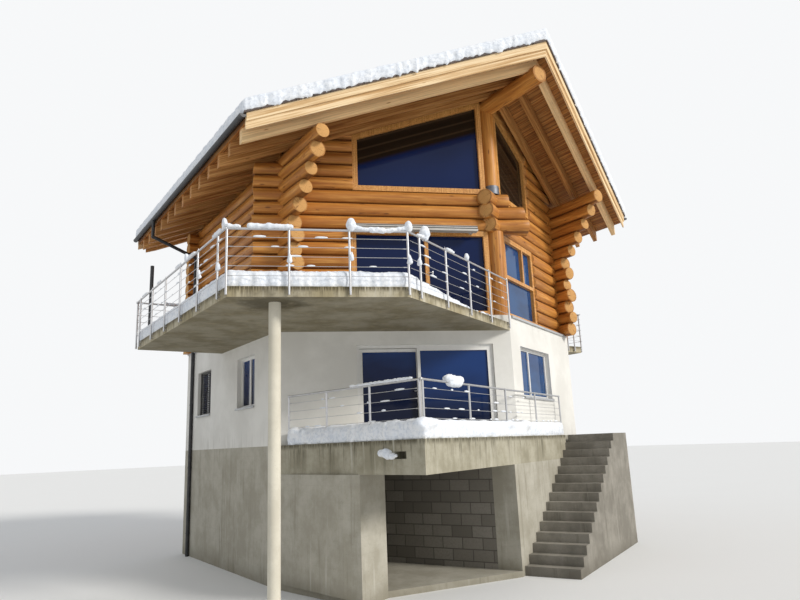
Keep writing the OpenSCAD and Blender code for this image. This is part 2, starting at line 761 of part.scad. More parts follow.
// Board from the top log up between the rafters, inside the front and back walls
module eaves_board(side) let (x0 = abs(log_x(side)) - frieze_t / 2, x1 = x0 + frieze_t,
    y0 = log_set_back + x1 * t + log_d / c + seat)
    mirror([side < 0 ? 1 : 0, 0, 0])
        box([x0, x1], [y0, house_depth - log_d - seat], [side_z(plate(side) - 1), big]);

// Each log is notched over the log that it crosses below
module side_wall_logs(side) {
    for (i = [0:plate(side) - 1]) difference() {
        side_log(side, i);
        front_log(side, i, seat);
        back_log(i, seat);
    }
    difference() {
        intersection() {
            eaves_board(side);
            below_roof(deck_z - seat);
        }
        rafters(side, seat);
    }
}

module front_wall_logs(side) intersection() {
    union() for (j = [0:front_courses(side) - 1]) difference() {
        front_log(side, j);
        if (j > 0) side_log(side, j - 1, seat);
    }
    below_roof(deck_z - seat);
}

// Half of each log that crosses at the point, the lower half on the left wall's logs
module crossing_halves(side) for (j = beams) intersection() {
    front_log(side, j, seat);
    box([-big, big], [-big, big], side < 0 ? [0, front_z(j)] : [front_z(j), big]);
}

module log_wall_left() color("chocolate") placed() side_wall_logs(-1);

module log_wall_right() color("chocolate") placed() difference() {
    side_wall_logs(1);
    side_wall(1, log_right_x) for (w = right_log_openings)
        box([w[0], w[1]], [-log_d, log_d], [sill_z + w[2] * log_pitch, sill_z + w[3] * log_pitch]);
}

module log_wall_front_left() color("peru") placed() difference() {
    front_wall_logs(-1);
    crossing_halves(1);
}

module log_wall_front_right() color("peru") placed() difference() {
    front_wall_logs(1);
    crossing_halves(-1);
}

// Board on the back wall that follows the roof and reaches up between the rafters
module gable_board() let (y0 = house_depth - log_half - frieze_t / 2) difference() {
    intersection() {
        box([log_left_x, log_right_x], [y0, y0 + frieze_t], [0, big]);
        below_roof(deck_z - seat);
    }
    below_roof(under_z - log_half);
    for (side = [-1, 1]) {
        rafters(side, seat);
        side_log(side, plate(side) - 1, seat);
    }
}

module log_wall_back() color("chocolate") placed() difference() {
    union() {
        intersection() {
            union() for (j = [0:back_courses - 1]) difference() {
                back_log(j);
                if (j > 0) side_log(-1, j - 1, seat);
                if (j > 0) side_log(1, j - 1, seat);
            }
            below_roof(under_z - frieze_step);
        }
        gable_board();
    }
    ridge_bar(seat);
    back_wall() for (w = back_log_openings)
        box([w[0], w[1]], [-log_d, log_d * 2], [front_z(w[2] + 0.5), front_z(w[3] + 0.5)]);
}

module ridge_log() color("chocolate") placed() ridge_bar();

module post_at(z0, z1, d) translate([0, log_set_back + log_half / c, z0])
    cylinder(h = z1 - z0, d = d, $fn = 32);

module point_post_lower() color("peru") placed() post_at(sill_z + seat, log_head_z - seat, lower_post_d);

module point_post_upper() color("peru") placed() difference() {
    post_at(gable_sill_z + shoe_h + seat, ridge_log_z, upper_post_d);
    ridge_bar(seat);
}

module post_shoe() color("gray") placed()
    post_at(gable_sill_z + seat, gable_sill_z + shoe_h, upper_post_d + 2 * shoe_t);

casing_y = [casing_face, casing_face + casing_t];
// Jambs of the front frames, from the corner post to the log ends
lower_jamb = point_x + lower_post_d / 2 + seat;
upper_jamb = point_x + upper_post_d / 2 + shoe_t + seat;
log_frame_z = [sill_z + seat, log_head_z - seat];
balcony_door_x = [lower_jamb, balcony_door_end - seat];
balcony_door_lights = lights(balcony_door_x, log_frame_z, casing_w, bar_w, [balcony_door_split]);
right_window_x = [lower_jamb, right_window_end - seat];
right_window_lights = concat(
    lights(right_window_x, [log_frame_z[0], transom_z - bar_w / 2 + casing_w], casing_w, bar_w),
    lights(right_window_x, [transom_z + bar_w / 2 - casing_w, log_frame_z[1]], casing_w, bar_w, [mullion_x]));
left_gable_x = [upper_jamb, left_gable_end - seat];
right_gable_x = [upper_jamb, right_window_end - seat];

// Light of a gable window, whose head follows the roof
module gable_light(side, x, y) intersection() {
    log_front(side) box([x[0] + casing_w, x[1] - casing_w], y, [gable_sill_z + casing_w, big]);
    below_roof(under_z - head_board);
}

module gable_frame(side, x) difference() {
    intersection() {
        log_front(side) box(x, casing_y, [gable_sill_z + seat, big]);
        below_roof(deck_z - seat);
    }
    gable_light(side, x, casing_y + eps * [-1, 1]);
    ridge_bar(seat);
}

module gable_glass(side, x) difference() {
    gable_light(side, x, [casing_y[0] + (casing_t - glass_t) / 2, casing_y[0] + (casing_t + glass_t) / 2]);
    ridge_bar(seat);
}

// Frame or glass of a plain opening of the right or back log wall
module log_window(x, z, glass) let (fx = [x[0] + seat, x[1] - seat], fz = [z[0] + seat, z[1] - seat],
    parts = lights(fx, fz, casing_w, bar_w))
    if (glass) panes_of(parts, casing_y);
    else frame_of(fx, casing_y, fz, parts);

module plain_log_windows(glass) {
    side_wall(1, log_right_x + log_half) for (w = right_log_openings)
        log_window(w, [sill_z + w[2] * log_pitch, sill_z + w[3] * log_pitch], glass);
    back_wall() for (w = back_log_openings)
        log_window(w, [front_z(w[2] + 0.5), front_z(w[3] + 0.5)], glass);
}

module log_window_frames() color("saddlebrown") placed() {
    log_front(-1) frame_of(balcony_door_x, casing_y, log_frame_z, balcony_door_lights);
    log_front(1) frame_of(right_window_x, casing_y, log_frame_z, right_window_lights);
    gable_frame(-1, left_gable_x);
    gable_frame(1, right_gable_x);
    plain_log_windows(false);
}

module log_window_glass() color("midnightblue") placed() {
    log_front(-1) panes_of(balcony_door_lights, casing_y);
    log_front(1) panes_of(right_window_lights, casing_y);
    gable_glass(-1, left_gable_x);
    gable_glass(1, right_gable_x);
    plain_log_windows(true);
}

// The awning's case hangs under the lowest beam, on brackets that are fixed to the door frame
module balcony_awning() color("gainsboro") placed() log_front(-1)
    let (x0 = awning_from, x1 = awning_from + awning_l, y1 = casing_face - awning_gap,
        y0 = y1 - awning_t, z0 = log_head_z - awning_drop) {
        box([x0, x1], [y0, y1], [z0, z0 + awning_h]);
        box([x0, x1], [y0 - awning_bar[0], y0 + eps], [z0, z0 + awning_bar[1]]);
        for (x = [x0 + awning_bracket, (x0 + x1) / 2, x1 - 2 * awning_bracket])
            box([x, x + awning_bracket], [y1 - eps, casing_face - seat], [z0, log_frame_z[1]]);
    }

// Part of a roof layer between distances a and b from the ridge and between two lines that start
// at y0 and y1 on the ridge and sweep back by front_sweep and back_sweep
module roof_piece(side, a, b, y0, y1, z, h, front_sweep = t, back_sweep = t)
    mirror([side < 0 ? 1 : 0, 0, 0]) intersection() {
        prism([[a, y0 + a * front_sweep], [b, y0 + b * front_sweep], [b, y1 + b * back_sweep],
            [a, y1 + a * back_sweep]], 0, big);
        translate([0, big, 0]) rotate([90, 0, 0]) linear_extrude(2 * big)
            polygon([[0, z], [b + eps, z - (b + eps) * slope(side)],
                [b + eps, z - h - (b + eps) * slope(side)], [0, z - h]]);
    }

// Width of a board or rafter along the ridge
function swept(w) = w / c;

deck_front = -roof_front + 2 * swept(verge_t);
deck_end = roof_end - 2 * verge_t;

// Rafters lie parallel to the swept verges, the last ones cut off by the back verge
module rafters(side, grow = 0) intersection() {
    for (y = [rafter_back - roof_front:rafter_gap:deck_end])
        roof_piece(side, seat - grow, roof_w(side) - rafter_short + grow, y - swept(grow),
            y + swept(rafter_w + grow), deck_z - seat + grow, rafter_h - seat + 2 * grow);
    box([-big, big], [-big, deck_end - seat + grow], [0, big]);
}

module rafters_left() color("burlywood") placed() difference() {
    rafters(-1);
    ridge_bar(seat);
}

module rafters_right() color("burlywood") placed() difference() {
    rafters(1);
    ridge_bar(seat);
}

module roof_body() color("burlywood") placed() for (side = [-1, 1])
    roof_piece(side, 0, roof_w(side), deck_front, deck_end, ridge_z - tile_t, deck_t, t, 0);

// Boards of height h along both verges, the front pair swept and the back pair straight
module verge_pair(row, h) for (side = [-1, 1]) {
    roof_piece(side, 0, roof_w(side), row * swept(verge_t) - roof_front,
        (row + 1) * swept(verge_t) - roof_front - seat, ridge_z - tile_t - seat, h);
    roof_piece(side, 0, roof_w(side), roof_end - (row + 1) * verge_t + seat, roof_end - row * verge_t,
        ridge_z - tile_t - seat, h, 0, 0);
}

module verge_boards() color("wheat") placed() {
    verge_pair(0, verge_h);
    verge_pair(1, verge_h + verge_drop);
}

module roof_tiles() color("dimgray") placed() for (side = [-1, 1])
    roof_piece(side, 0, roof_w(side) + tile_side, -roof_front - tile_over, roof_end + tile_over,
        ridge_z, tile_t - seat, t, 0);

function gutter_x(side) = side * (roof_w(side) + gutter_r + seat);

function gutter_z(side) = ridge_z - tile_t - (roof_w(side) + tile_side) * slope(side) - gutter_drop;

// Half-round gutter from y0 to y1 with closed ends
module gutter(y0, y1) translate([0, y1, 0]) rotate([90, 0, 0]) difference() {
    cylinder(h = y1 - y0, r = gutter_r, $fn = 32);
    translate([0, 0, gutter_t]) cylinder(h = y1 - y0 - 2 * gutter_t, r = gutter_r - gutter_t, $fn = 32);
    translate([-gutter_r - eps, 0, -eps]) cube([2 * (gutter_r + eps), gutter_r + eps, y1 - y0 + 2 * eps]);
}

module roof_gutters() color("black") placed() for (side = [-1, 1])
    translate([gutter_x(side), 0, gutter_z(side)]) gutter(roof_w(side) * t - roof_front, roof_end);

pipe_y = house_depth - pipe_from;

// Downpipe from under the gutter, slanting in to the wall and down to the ground
module downpipe(side) let (top = [gutter_x(side), pipe_y, gutter_z(side) - gutter_r - seat],
    bend = [top[0], pipe_y, under_z - roof_w(side) * slope(side) - pipe_under],
    foot = [side * ((side < 0 ? left_run : right_run) + pipe_d / 2 + pipe_collar + seat), pipe_y, 0],
    knee = [foot[0], pipe_y, bend[2] - pipe_fall]) {
    rod(top, bend, pipe_d);
    rod(bend, knee, pipe_d);
    rod(knee, foot, pipe_d);
    for (p = [bend, knee]) translate(p) sphere(d = pipe_d + 2 * pipe_collar, $fn = 24);
}

module downpipes() color("black") placed() for (side = [-1, 1]) downpipe(side);

module roof_snow() color("snow") placed() for (side = [-1, 1])
    roof_piece(side, 0, roof_w(side) + tile_side + snow_over, -roof_front - tile_over - snow_over,
        roof_end + tile_over + snow_over, ridge_z + snow_t, snow_t - seat, t, 0);

// Terrace corner drawn in by i, and the point on its left edge at distance a from the house
function terrace_turn(i) = meet([-left_run, left_y] + i * terrace_in, terrace_dir,
    front_at(1, 0, terrace_step - i), [c, s]);

function terrace_side(a, i) = [-left_run, left_y] + a * terrace_dir + i * terrace_in;

module balcony_snow() let (i = balcony_snow_in, w = balcony_snow_w, x = balcony_left_x, y = balcony_back - i)
    difference() {
        prism([[x + i, y], balcony_b1(i), balcony_b2(i), balcony_b2(i) + balcony_snow_l * [c, s],
            balcony_b2(w), balcony_b1(w), [x + w, y]], balcony_z, balcony_z + floor_snow_t);
        pole_at(pole_d + 2 * snow_over);
    }

module terrace_snow() let (i = terrace_snow_in, w = terrace_snow_w) intersection() {
    prism([terrace_side(rail_clear, i), terrace_turn(i), front_at(1, 0, terrace_step - i),
        front_at(1, 0, terrace_step - w), terrace_turn(w), terrace_side(rail_clear, w)],
        terrace_z, terrace_z + floor_snow_t);
    front(-1) box([0, big], [-big, -snow_clear], [0, big]);
}

module floor_snow() color("snow") placed() {
    balcony_snow();
    terrace_snow();
}

garage_floor();
garage_wall_left();
garage_pillar();
garage_wall_back();
garage_wall_right();
cellar_wall_front();
cellar_wall_left();
cellar_wall_right();
cellar_wall_back();
terrace_slab();
living_floor();
living_wall_left();
living_wall_front_corner();
living_wall_front_point();
terrace_door_lintel();
living_wall_front_right();
living_wall_right();
living_wall_back();
terrace_door_frame();
terrace_door_fixed_leaf();
terrace_door_sliding_leaf();
terrace_door_sliding_glass();
living_window_frames();
living_window_glass();
window_shutter();
upper_floor();
balcony_slab();
balcony_column();
balcony_pole();
balcony_railing_left();
balcony_railing_front();
balcony_railing_right();
balcony_railing_back();
side_balcony_slab();
side_balcony_railing();
terrace_railing_left();
terrace_railing_right();
stair();
log_wall_left();
log_wall_front_left();
log_wall_front_right();
log_wall_right();
log_wall_back();
ridge_log();
point_post_lower();
point_post_upper();
post_shoe();
log_window_frames();
log_window_glass();
balcony_awning();
rafters_left();
rafters_right();
roof_body();
verge_boards();
roof_tiles();
roof_gutters();
downpipes();
roof_snow();
floor_snow();
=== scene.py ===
import math
import random

import bmesh
import bpy
from mathutils import Matrix, Vector, noise


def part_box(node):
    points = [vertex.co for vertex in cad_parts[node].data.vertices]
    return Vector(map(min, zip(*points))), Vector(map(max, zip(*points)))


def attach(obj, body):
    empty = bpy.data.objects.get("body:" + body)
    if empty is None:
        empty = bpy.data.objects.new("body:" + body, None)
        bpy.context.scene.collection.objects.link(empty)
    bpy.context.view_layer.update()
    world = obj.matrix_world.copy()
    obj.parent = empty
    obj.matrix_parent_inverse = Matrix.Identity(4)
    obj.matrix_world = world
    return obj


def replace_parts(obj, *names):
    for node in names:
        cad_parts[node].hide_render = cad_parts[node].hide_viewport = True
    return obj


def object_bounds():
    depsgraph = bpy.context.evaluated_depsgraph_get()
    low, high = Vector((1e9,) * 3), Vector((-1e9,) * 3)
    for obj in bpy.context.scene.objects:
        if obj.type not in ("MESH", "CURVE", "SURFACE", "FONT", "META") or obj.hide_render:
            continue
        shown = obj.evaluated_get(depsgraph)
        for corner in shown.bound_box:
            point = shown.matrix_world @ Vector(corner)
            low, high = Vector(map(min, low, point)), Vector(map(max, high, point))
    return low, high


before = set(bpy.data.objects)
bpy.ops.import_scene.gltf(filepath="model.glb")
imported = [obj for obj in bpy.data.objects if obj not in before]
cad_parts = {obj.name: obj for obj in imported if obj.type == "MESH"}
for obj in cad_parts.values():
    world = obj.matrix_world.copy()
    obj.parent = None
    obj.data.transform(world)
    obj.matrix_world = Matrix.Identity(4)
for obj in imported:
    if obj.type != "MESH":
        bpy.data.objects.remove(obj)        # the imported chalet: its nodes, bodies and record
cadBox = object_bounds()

random.seed(7)

# the chalet's own layout, in metres, in the part's frame
plan = {
    "sweep": math.radians(24), "point": -4.3, "left": 5.08, "right": 4.13, "depth": 8.88,
    "terrace": 2.91, "sill": 3.85, "head": 5.10, "balcony": 5.61, "wallTop": 5.80,
    "logBack": 0.09, "logHalf": 0.178, "logPitch": 0.334, "leftLogs": -4.80, "rightLogs": 3.94,
    "ridge": 12.21, "ridgeLog": 11.43, "deck": 11.93,
    "leftPitch": math.radians(19.7), "rightPitch": math.radians(22.4),
}
cosSweep, sinSweep, tanSweep = (f(plan["sweep"]) for f in (math.cos, math.sin, math.tan))
leftSlope, rightSlope = math.tan(plan["leftPitch"]), math.tan(plan["rightPitch"])


def frontAt(side, along, out, z=0.0):
    # a point along a front wall (side 1 right, -1 left) and outside it
    x = side * (along * cosSweep + out * sinSweep)
    return Vector((x, along * sinSweep - out * cosSweep + plan["point"], z))


def houseAt(x, y, z=0.0):
    # a point given from the front wall's point
    return Vector((x, y + plan["point"], z))


def slopeOn(side):
    return leftSlope if side < 0 else rightSlope


def roofHeight(x):
    return plan["ridge"] - abs(x) * slopeOn(x)


# camera

cameraLook = {"place": (-10.96, -15.49, 2.82), "heading": 34.74, "pitch": 12.63, "roll": -2.32,
              "lens": 29.1, "sensor": 36, "far": 500}


def makeCamera(look):
    lens = bpy.data.cameras.new("camera")
    lens.lens, lens.sensor_width, lens.clip_end = look["lens"], look["sensor"], look["far"]
    camera = bpy.data.objects.new("camera", lens)
    bpy.context.collection.objects.link(camera)
    turn = (Matrix.Rotation(math.radians(-look["heading"]), 4, "Z")
            @ Matrix.Rotation(math.radians(90 + look["pitch"]), 4, "X")
            @ Matrix.Rotation(math.radians(look["roll"]), 4, "Z"))
    camera.matrix_world = Matrix.Translation(look["place"]) @ turn
    bpy.context.scene.camera = camera


makeCamera(cameraLook)
print("camera ready")


# finishes

class Finish:
    # one procedural material, with short calls for the nodes it is wired from
    def __init__(self, name):
        self.material = bpy.data.materials.new(name)
        self.material.use_nodes = True
        self.tree = self.material.node_tree
        self.tree.nodes.clear()
        self.shader = self.tree.nodes.new("ShaderNodeBsdfPrincipled")
        output = self.tree.nodes.new("ShaderNodeOutputMaterial")
        self.tree.links.new(self.shader.outputs[0], output.inputs[0])
        self.coords = self.tree.nodes.new("ShaderNodeTexCoord")

    def put(self, socket, value):
        if isinstance(value, bpy.types.NodeSocket):
            self.tree.links.new(value, socket)
        else:
            socket.default_value = value

    def math(self, operation, a, b=0.0, c=0.0):
        node = self.tree.nodes.new("ShaderNodeMath")
        node.operation = operation
        for socket, value in zip(node.inputs, (a, b, c)):
            self.put(socket, value)
        return node.outputs[0]

    def plus(self, a, b):
        return self.math("ADD", a, b)

    def minus(self, a, b):
        return self.math("SUBTRACT", a, b)

    def times(self, a, b):
        return self.math("MULTIPLY", a, b)

    def over(self, a, b):
        return self.math("DIVIDE", a, b)

    def scaled(self, value, size, shift):
        return self.math("MULTIPLY_ADD", value, size, shift)

    def between(self, value, low, high):
        return self.times(self.math("GREATER_THAN", value, low), self.math("LESS_THAN", value, high))

    def offHalf(self, value):
        # how far a value lies from a half, either way
        return self.math("ABSOLUTE", self.minus(value, 0.5))

    def local(self, origin=(0, 0, 0), turn=0.0):
        # object coordinates seen from a place on the building, turned about the upright
        node = self.tree.nodes.new("ShaderNodeMapping")
        node.inputs["Rotation"].default_value = (0, 0, -turn)
        node.inputs["Location"].default_value = -(Matrix.Rotation(-turn, 3, "Z") @ Vector(origin))
        self.put(node.inputs["Vector"], self.coords.outputs["Object"])
        return self.split(node.outputs[0])

    def split(self, vector):
        node = self.tree.nodes.new("ShaderNodeSeparateXYZ")
        self.put(node.inputs[0], vector)
        return node.outputs[0], node.outputs[1], node.outputs[2]

    def join(self, x, y, z, scale=(1, 1, 1)):
        node = self.tree.nodes.new("ShaderNodeCombineXYZ")
        for socket, value, size in zip(node.inputs, (x, y, z), scale):
            if size != 1 and isinstance(value, bpy.types.NodeSocket):
                value = self.times(value, size)
            self.put(socket, value)
        return node.outputs[0]

    def noise(self, vector, scale=1.0, detail=3.0, roughness=0.55, distortion=0.0):
        node = self.tree.nodes.new("ShaderNodeTexNoise")
        for key, value in (("Vector", vector), ("Scale", scale), ("Detail", detail),
                           ("Roughness", roughness), ("Distortion", distortion)):
            self.put(node.inputs[key], value)
        return node.outputs["Fac"]

    def grain(self, along, across, up, stretch, detail=3.0, roughness=0.55, distortion=0.0):
        # noise drawn out along one direction; stretch is its scale along and across it
        spot = self.join(along, across, up, (stretch[0], stretch[1], stretch[1]))
        return self.noise(spot, 1.0, detail, roughness, distortion)

    def runs(self, x, y, z, stretch, detail, roughness):
        # noise drawn out downwards; stretch is its scale across and down
        return self.noise(self.join(x, y, z, (stretch[0], stretch[0], stretch[1])), 1.0, detail, roughness)

    def cells(self, vector, scale=1.0):
        node = self.tree.nodes.new("ShaderNodeTexVoronoi")
        self.put(node.inputs["Vector"], vector)
        self.put(node.inputs["Scale"], scale)
        return node.outputs["Distance"]

    def chance(self, value):
        node = self.tree.nodes.new("ShaderNodeTexWhiteNoise")
        node.noise_dimensions = "1D"
        self.put(node.inputs["W"], value)
        return node.outputs["Value"]

    def fade(self, value, low, high, start=0.0, end=1.0):
        node = self.tree.nodes.new("ShaderNodeMapRange")
        node.interpolation_type = "SMOOTHSTEP"
        for socket, number in zip(node.inputs, (value, low, high, start, end)):
            self.put(socket, number)
        return node.outputs[0]

    def mix(self, share, a, b, kind="MIX"):
        node = self.tree.nodes.new("ShaderNodeMix")
        node.data_type, node.blend_type = "RGBA", kind
        self.put(node.inputs[0], share)
        for socket, value in ((node.inputs[6], a), (node.inputs[7], b)):
            self.put(socket, (*value, 1) if isinstance(value, tuple) and len(value) == 3 else value)
        return node.outputs[2]

    def shaded(self, colour, value):
        # a colour made lighter or darker by a value round one
        return self.mix(1.0, colour, self.join(value, value, value), "MULTIPLY")

    def facing(self, direction):
        # how squarely a face looks along a direction, either way
        node = self.tree.nodes.new("ShaderNodeVectorMath")
        node.operation = "DOT_PRODUCT"
        self.put(node.inputs[0], self.coords.outputs["Normal"])
        node.inputs[1].default_value = direction
        return self.math("ABSOLUTE", node.outputs["Value"])

    def bump(self, height, strength, distance):
        node = self.tree.nodes.new("ShaderNodeBump")
        node.inputs["Strength"].default_value = strength
        node.inputs["Distance"].default_value = distance
        self.put(node.inputs["Height"], height)
        self.put(self.shader.inputs["Normal"], node.outputs[0])

    def finish(self, colour, roughness=0.6, metallic=0.0, **others):
        self.put(self.shader.inputs["Base Color"], (*colour, 1) if isinstance(colour, tuple) else colour)
        self.put(self.shader.inputs["Roughness"], roughness)
        self.put(self.shader.inputs["Metallic"], metallic)
        for key, value in others.items():
            self.put(self.shader.inputs[key.replace("_", " ")], value)
        return self.material


logLook = {
    "tone": (0.60, 0.265, 0.055), "dark": (0.38, 0.14, 0.026), "pale": (0.80, 0.43, 0.12),
    "knot": (0.15, 0.05, 0.014), "seam": (0.13, 0.045, 0.012), "end": (0.62, 0.34, 0.115),
    "ring": (0.46, 0.22, 0.065), "rim": (0.30, 0.12, 0.03), "ringGap": 0.014, "ringWobble": 9,
    "streaks": (0.7, 13), "fibres": (3.5, 95), "patches": (0.35, 1.5), "knots": (1.3, 4.5),
    "cracks": (0.45, 15), "crackPatches": (0.8, 2), "spokes": (2.6, 3.7),
    "courseShift": 7.3, "courseTint": 0.3, "rough": 0.46, "endRough": 0.3,
}


def logFinish(name, origin, turn, upright=False, seam=None, look=logLook):
    # round logs with grain along them, knots, drying cracks, painted shade in the creases between courses and
    # pale sawn ends;
    # seam is the height of a joint between two courses
    f = Finish(name)
    x, y, z = f.local(origin, turn)
    axis = (0, 0, 1) if upright else (math.cos(turn), math.sin(turn), 0)
    along, across, up = (z, x, y) if upright else (x, y, z)
    course = 0.0
    if seam is not None:
        rows = f.over(f.minus(z, seam - origin[2]), plan["logPitch"])
        course = f.math("FLOOR", rows)
        up = f.times(f.minus(f.math("FRACT", rows), 0.5), plan["logPitch"])
    shifted = f.plus(along, f.times(course, look["courseShift"]))
    streaks = f.grain(shifted, across, up, look["streaks"], 6, 0.6, 0.3)
    fibres = f.grain(shifted, across, up, look["fibres"], 3, 0.6)
    side = f.mix(f.fade(streaks, 0.32, 0.68), look["dark"], look["tone"])
    side = f.mix(f.fade(streaks, 0.52, 0.78, 0, 0.75), side, look["pale"])
    side = f.mix(f.fade(fibres, 0.42, 0.75, 0, 0.35), side, look["dark"])
    patches = f.grain(shifted, across, up, look["patches"], 2)
    side = f.mix(f.fade(patches, 0.52, 0.72, 0, 0.45), side, look["dark"])
    side = f.shaded(side, f.scaled(f.chance(course), look["courseTint"], 1 - look["courseTint"] / 2))
    knots = look["knots"]
    knots = f.cells(f.join(shifted, across, up, (knots[0], knots[1], knots[1])))
    side = f.mix(f.fade(knots, 0.13, 0.05, 0, 0.85), side, look["knot"])
    cracks = f.fade(f.offHalf(f.grain(shifted, across, up, look["cracks"], 1, 0.4)), 0.012, 0.003)
    cracks = f.times(cracks, f.fade(f.grain(shifted, across, up, look["crackPatches"], 1), 0.5, 0.6))
    side = f.mix(f.times(cracks, 0.85), side, look["knot"])
    if seam is not None:
        # painted shade in the crease where two courses meet
        side = f.mix(f.fade(f.math("ABSOLUTE", up), 0.125, 0.165, 0, 0.85), side, look["seam"])

    radius = f.math("SQRT", f.plus(f.times(across, across), f.times(up, up)))
    wobble = f.noise(f.join(across, up, course, (9, 9, 5)), 1.0, 2)
    rings = f.scaled(wobble, look["ringWobble"], f.times(radius, math.tau / look["ringGap"]))
    end = f.mix(f.fade(f.math("SINE", rings), -0.6, 0.9, 0, 0.55), look["end"], look["ring"])
    wide, deep = look["spokes"]
    centred = f.plus(radius, 0.004)
    spokes = f.join(f.over(across, centred), f.over(up, centred), course, (wide, wide, deep))
    end = f.mix(f.fade(f.offHalf(f.noise(spokes, 1.0, 0)), 0.016, 0.004, 0, 0.8), end, look["knot"])
    end = f.mix(f.fade(radius, 0.155, plan["logHalf"], 0, 0.7), end, look["rim"])
    sawn = f.fade(f.facing(axis), 0.86, 0.93)
    height = f.plus(f.times(streaks, 0.6), f.times(fibres, 0.25))
    f.bump(f.minus(height, f.times(cracks, 0.7)), 0.55, 0.012)
    return f.finish(f.mix(sawn, side, end), f.scaled(sawn, look["endRough"], look["rough"]),
                    Specular_IOR_Level=0.35)


boardLook = {
    "verge": {"pale": (0.88, 0.70, 0.45), "tone": (0.78, 0.56, 0.31), "dark": (0.52, 0.31, 0.13)},
    "rafter": {"pale": (0.60, 0.32, 0.11), "tone": (0.46, 0.215, 0.060), "dark": (0.28, 0.105, 0.026)},
    "soffit": {"pale": (0.50, 0.24, 0.07), "tone": (0.40, 0.17, 0.045), "dark": (0.23, 0.08, 0.018)},
    "frame": {"pale": (0.78, 0.43, 0.15), "tone": (0.63, 0.31, 0.085), "dark": (0.42, 0.17, 0.04)},
    # the first rafter's colour is painted sunlight on the rafter nearest the front verge
    "gap": (0.05, 0.025, 0.01), "sunlitFirstRafter": (0.95, 0.67, 0.35), "firstDepth": 1.41,
    "rafterGap": 0.36, "soffitBoard": 0.125, "soffitGap": 0.006, "backVerge": 3.0, "tint": 0.24,
}


def roofSlope(f, x):
    right = f.math("GREATER_THAN", x, 0.0)
    return f.scaled(right, rightSlope - leftSlope, leftSlope)


def boardFinish(name, look, boards=None, first=None, straightFrom=50.0):
    # sawn roof timber with its grain down the slope, or boards laid along the ridge;
    # the rafter nearest the front verge can have a paler colour, painted sunlight on it, and timber
    # beyond straightFrom runs square to the ridge
    f = Finish(name)
    x, y, z = f.local()
    run = f.math("ABSOLUTE", x)
    height = f.scaled(run, roofSlope(f, x), z)
    swept = f.math("LESS_THAN", y, straightFrom)
    depth = f.scaled(run, f.times(swept, -tanSweep), y)
    if boards:
        rows = f.over(run, boards)
        number = f.math("FLOOR", f.scaled(f.math("SIGN", x), 100, rows))
        spot = f.join(y, run, f.times(number, 3.7), (0.8, 22, 1))
    else:
        number = f.math("FLOOR", f.over(depth, boardLook["rafterGap"]))
        spot = f.join(f.scaled(number, 5.1, run), height, depth, (0.7, 24, 24))
    streaks = f.noise(spot, 1.0, 5, 0.6, 0.4)
    colour = f.mix(f.fade(streaks, 0.3, 0.62), look["dark"], look["tone"])
    colour = f.mix(f.fade(streaks, 0.42, 0.7), colour, look["pale"])
    colour = f.shaded(colour, f.scaled(f.chance(number), boardLook["tint"], 0.86))
    # painted sunlight: the rafter nearest the front verge is paler
    if first:
        edge = plan["point"] - boardLook["firstDepth"]
        sunlitGrained = f.mix(f.fade(streaks, 0.36, 0.66), tuple(c * 0.72 for c in first), first)
        colour = f.mix(f.fade(depth, edge, edge - 0.01), colour, sunlitGrained)
    knots = f.cells(f.join(run, height, y, (1.1, 5, 1.6)))
    colour = f.mix(f.fade(knots, 0.09, 0.03, 0, 0.8), colour, look["dark"])
    relief = streaks
    if boards:
        seams = f.fade(f.offHalf(f.math("FRACT", rows)), 0.5 - boardLook["soffitGap"] / boards * 2, 0.5)
        colour = f.mix(f.times(seams, 0.9), colour, boardLook["gap"])
        relief = f.minus(f.times(streaks, 0.3), seams)
    f.bump(relief, 0.4, 0.006)
    return f.finish(colour, 0.62, Specular_IOR_Level=0.3)


def stainedFinish(name, look, turn):
    # planed and stained window timber
    f = Finish(name)
    x, y, z = f.local((0, 0, 0), turn)
    lying = f.grain(x, y, z, (1.2, 40), 4)
    standing = f.runs(x, y, z, (40, 1.2), 4, 0.55)
    streaks = f.scaled(lying, 0.5, f.times(standing, 0.5))
    colour = f.mix(f.fade(streaks, 0.36, 0.56), look["dark"], look["tone"])
    colour = f.mix(f.fade(streaks, 0.5, 0.66, 0, 0.8), colour, look["pale"])
    f.bump(streaks, 0.25, 0.003)
    return f.finish(colour, 0.4, Specular_IOR_Level=0.45)


concreteLook = {
    "plain": {"tone": (0.47, 0.445, 0.375), "dark": (0.36, 0.335, 0.27), "stain": (0.13, 0.115, 0.075),
              "lime": (0.62, 0.60, 0.53), "share": 0.45},
    "edge": {"tone": (0.52, 0.47, 0.35), "dark": (0.34, 0.29, 0.18), "stain": (0.065, 0.052, 0.026),
             "lime": (0.66, 0.63, 0.54), "share": 0.95, "drips": (0.43, 0.60)},
    "terrace": {"tone": (0.44, 0.41, 0.32), "dark": (0.30, 0.275, 0.20), "stain": (0.075, 0.065, 0.038),
                "lime": (0.60, 0.58, 0.50), "share": 0.9, "drips": (0.47, 0.64)},
    "stair": {"tone": (0.30, 0.28, 0.24), "dark": (0.20, 0.185, 0.155), "stain": (0.08, 0.07, 0.05),
              "lime": (0.36, 0.34, 0.30), "share": 0.5},
    "column": {"tone": (0.70, 0.66, 0.55), "dark": (0.60, 0.56, 0.46), "stain": (0.42, 0.38, 0.30),
               "lime": (0.76, 0.74, 0.66), "share": 0.3},
    "drips": (0.52, 0.70), "rim": (0.13, 0.02), "splash": 0.45, "board": 0.30, "under": 0.60,
}


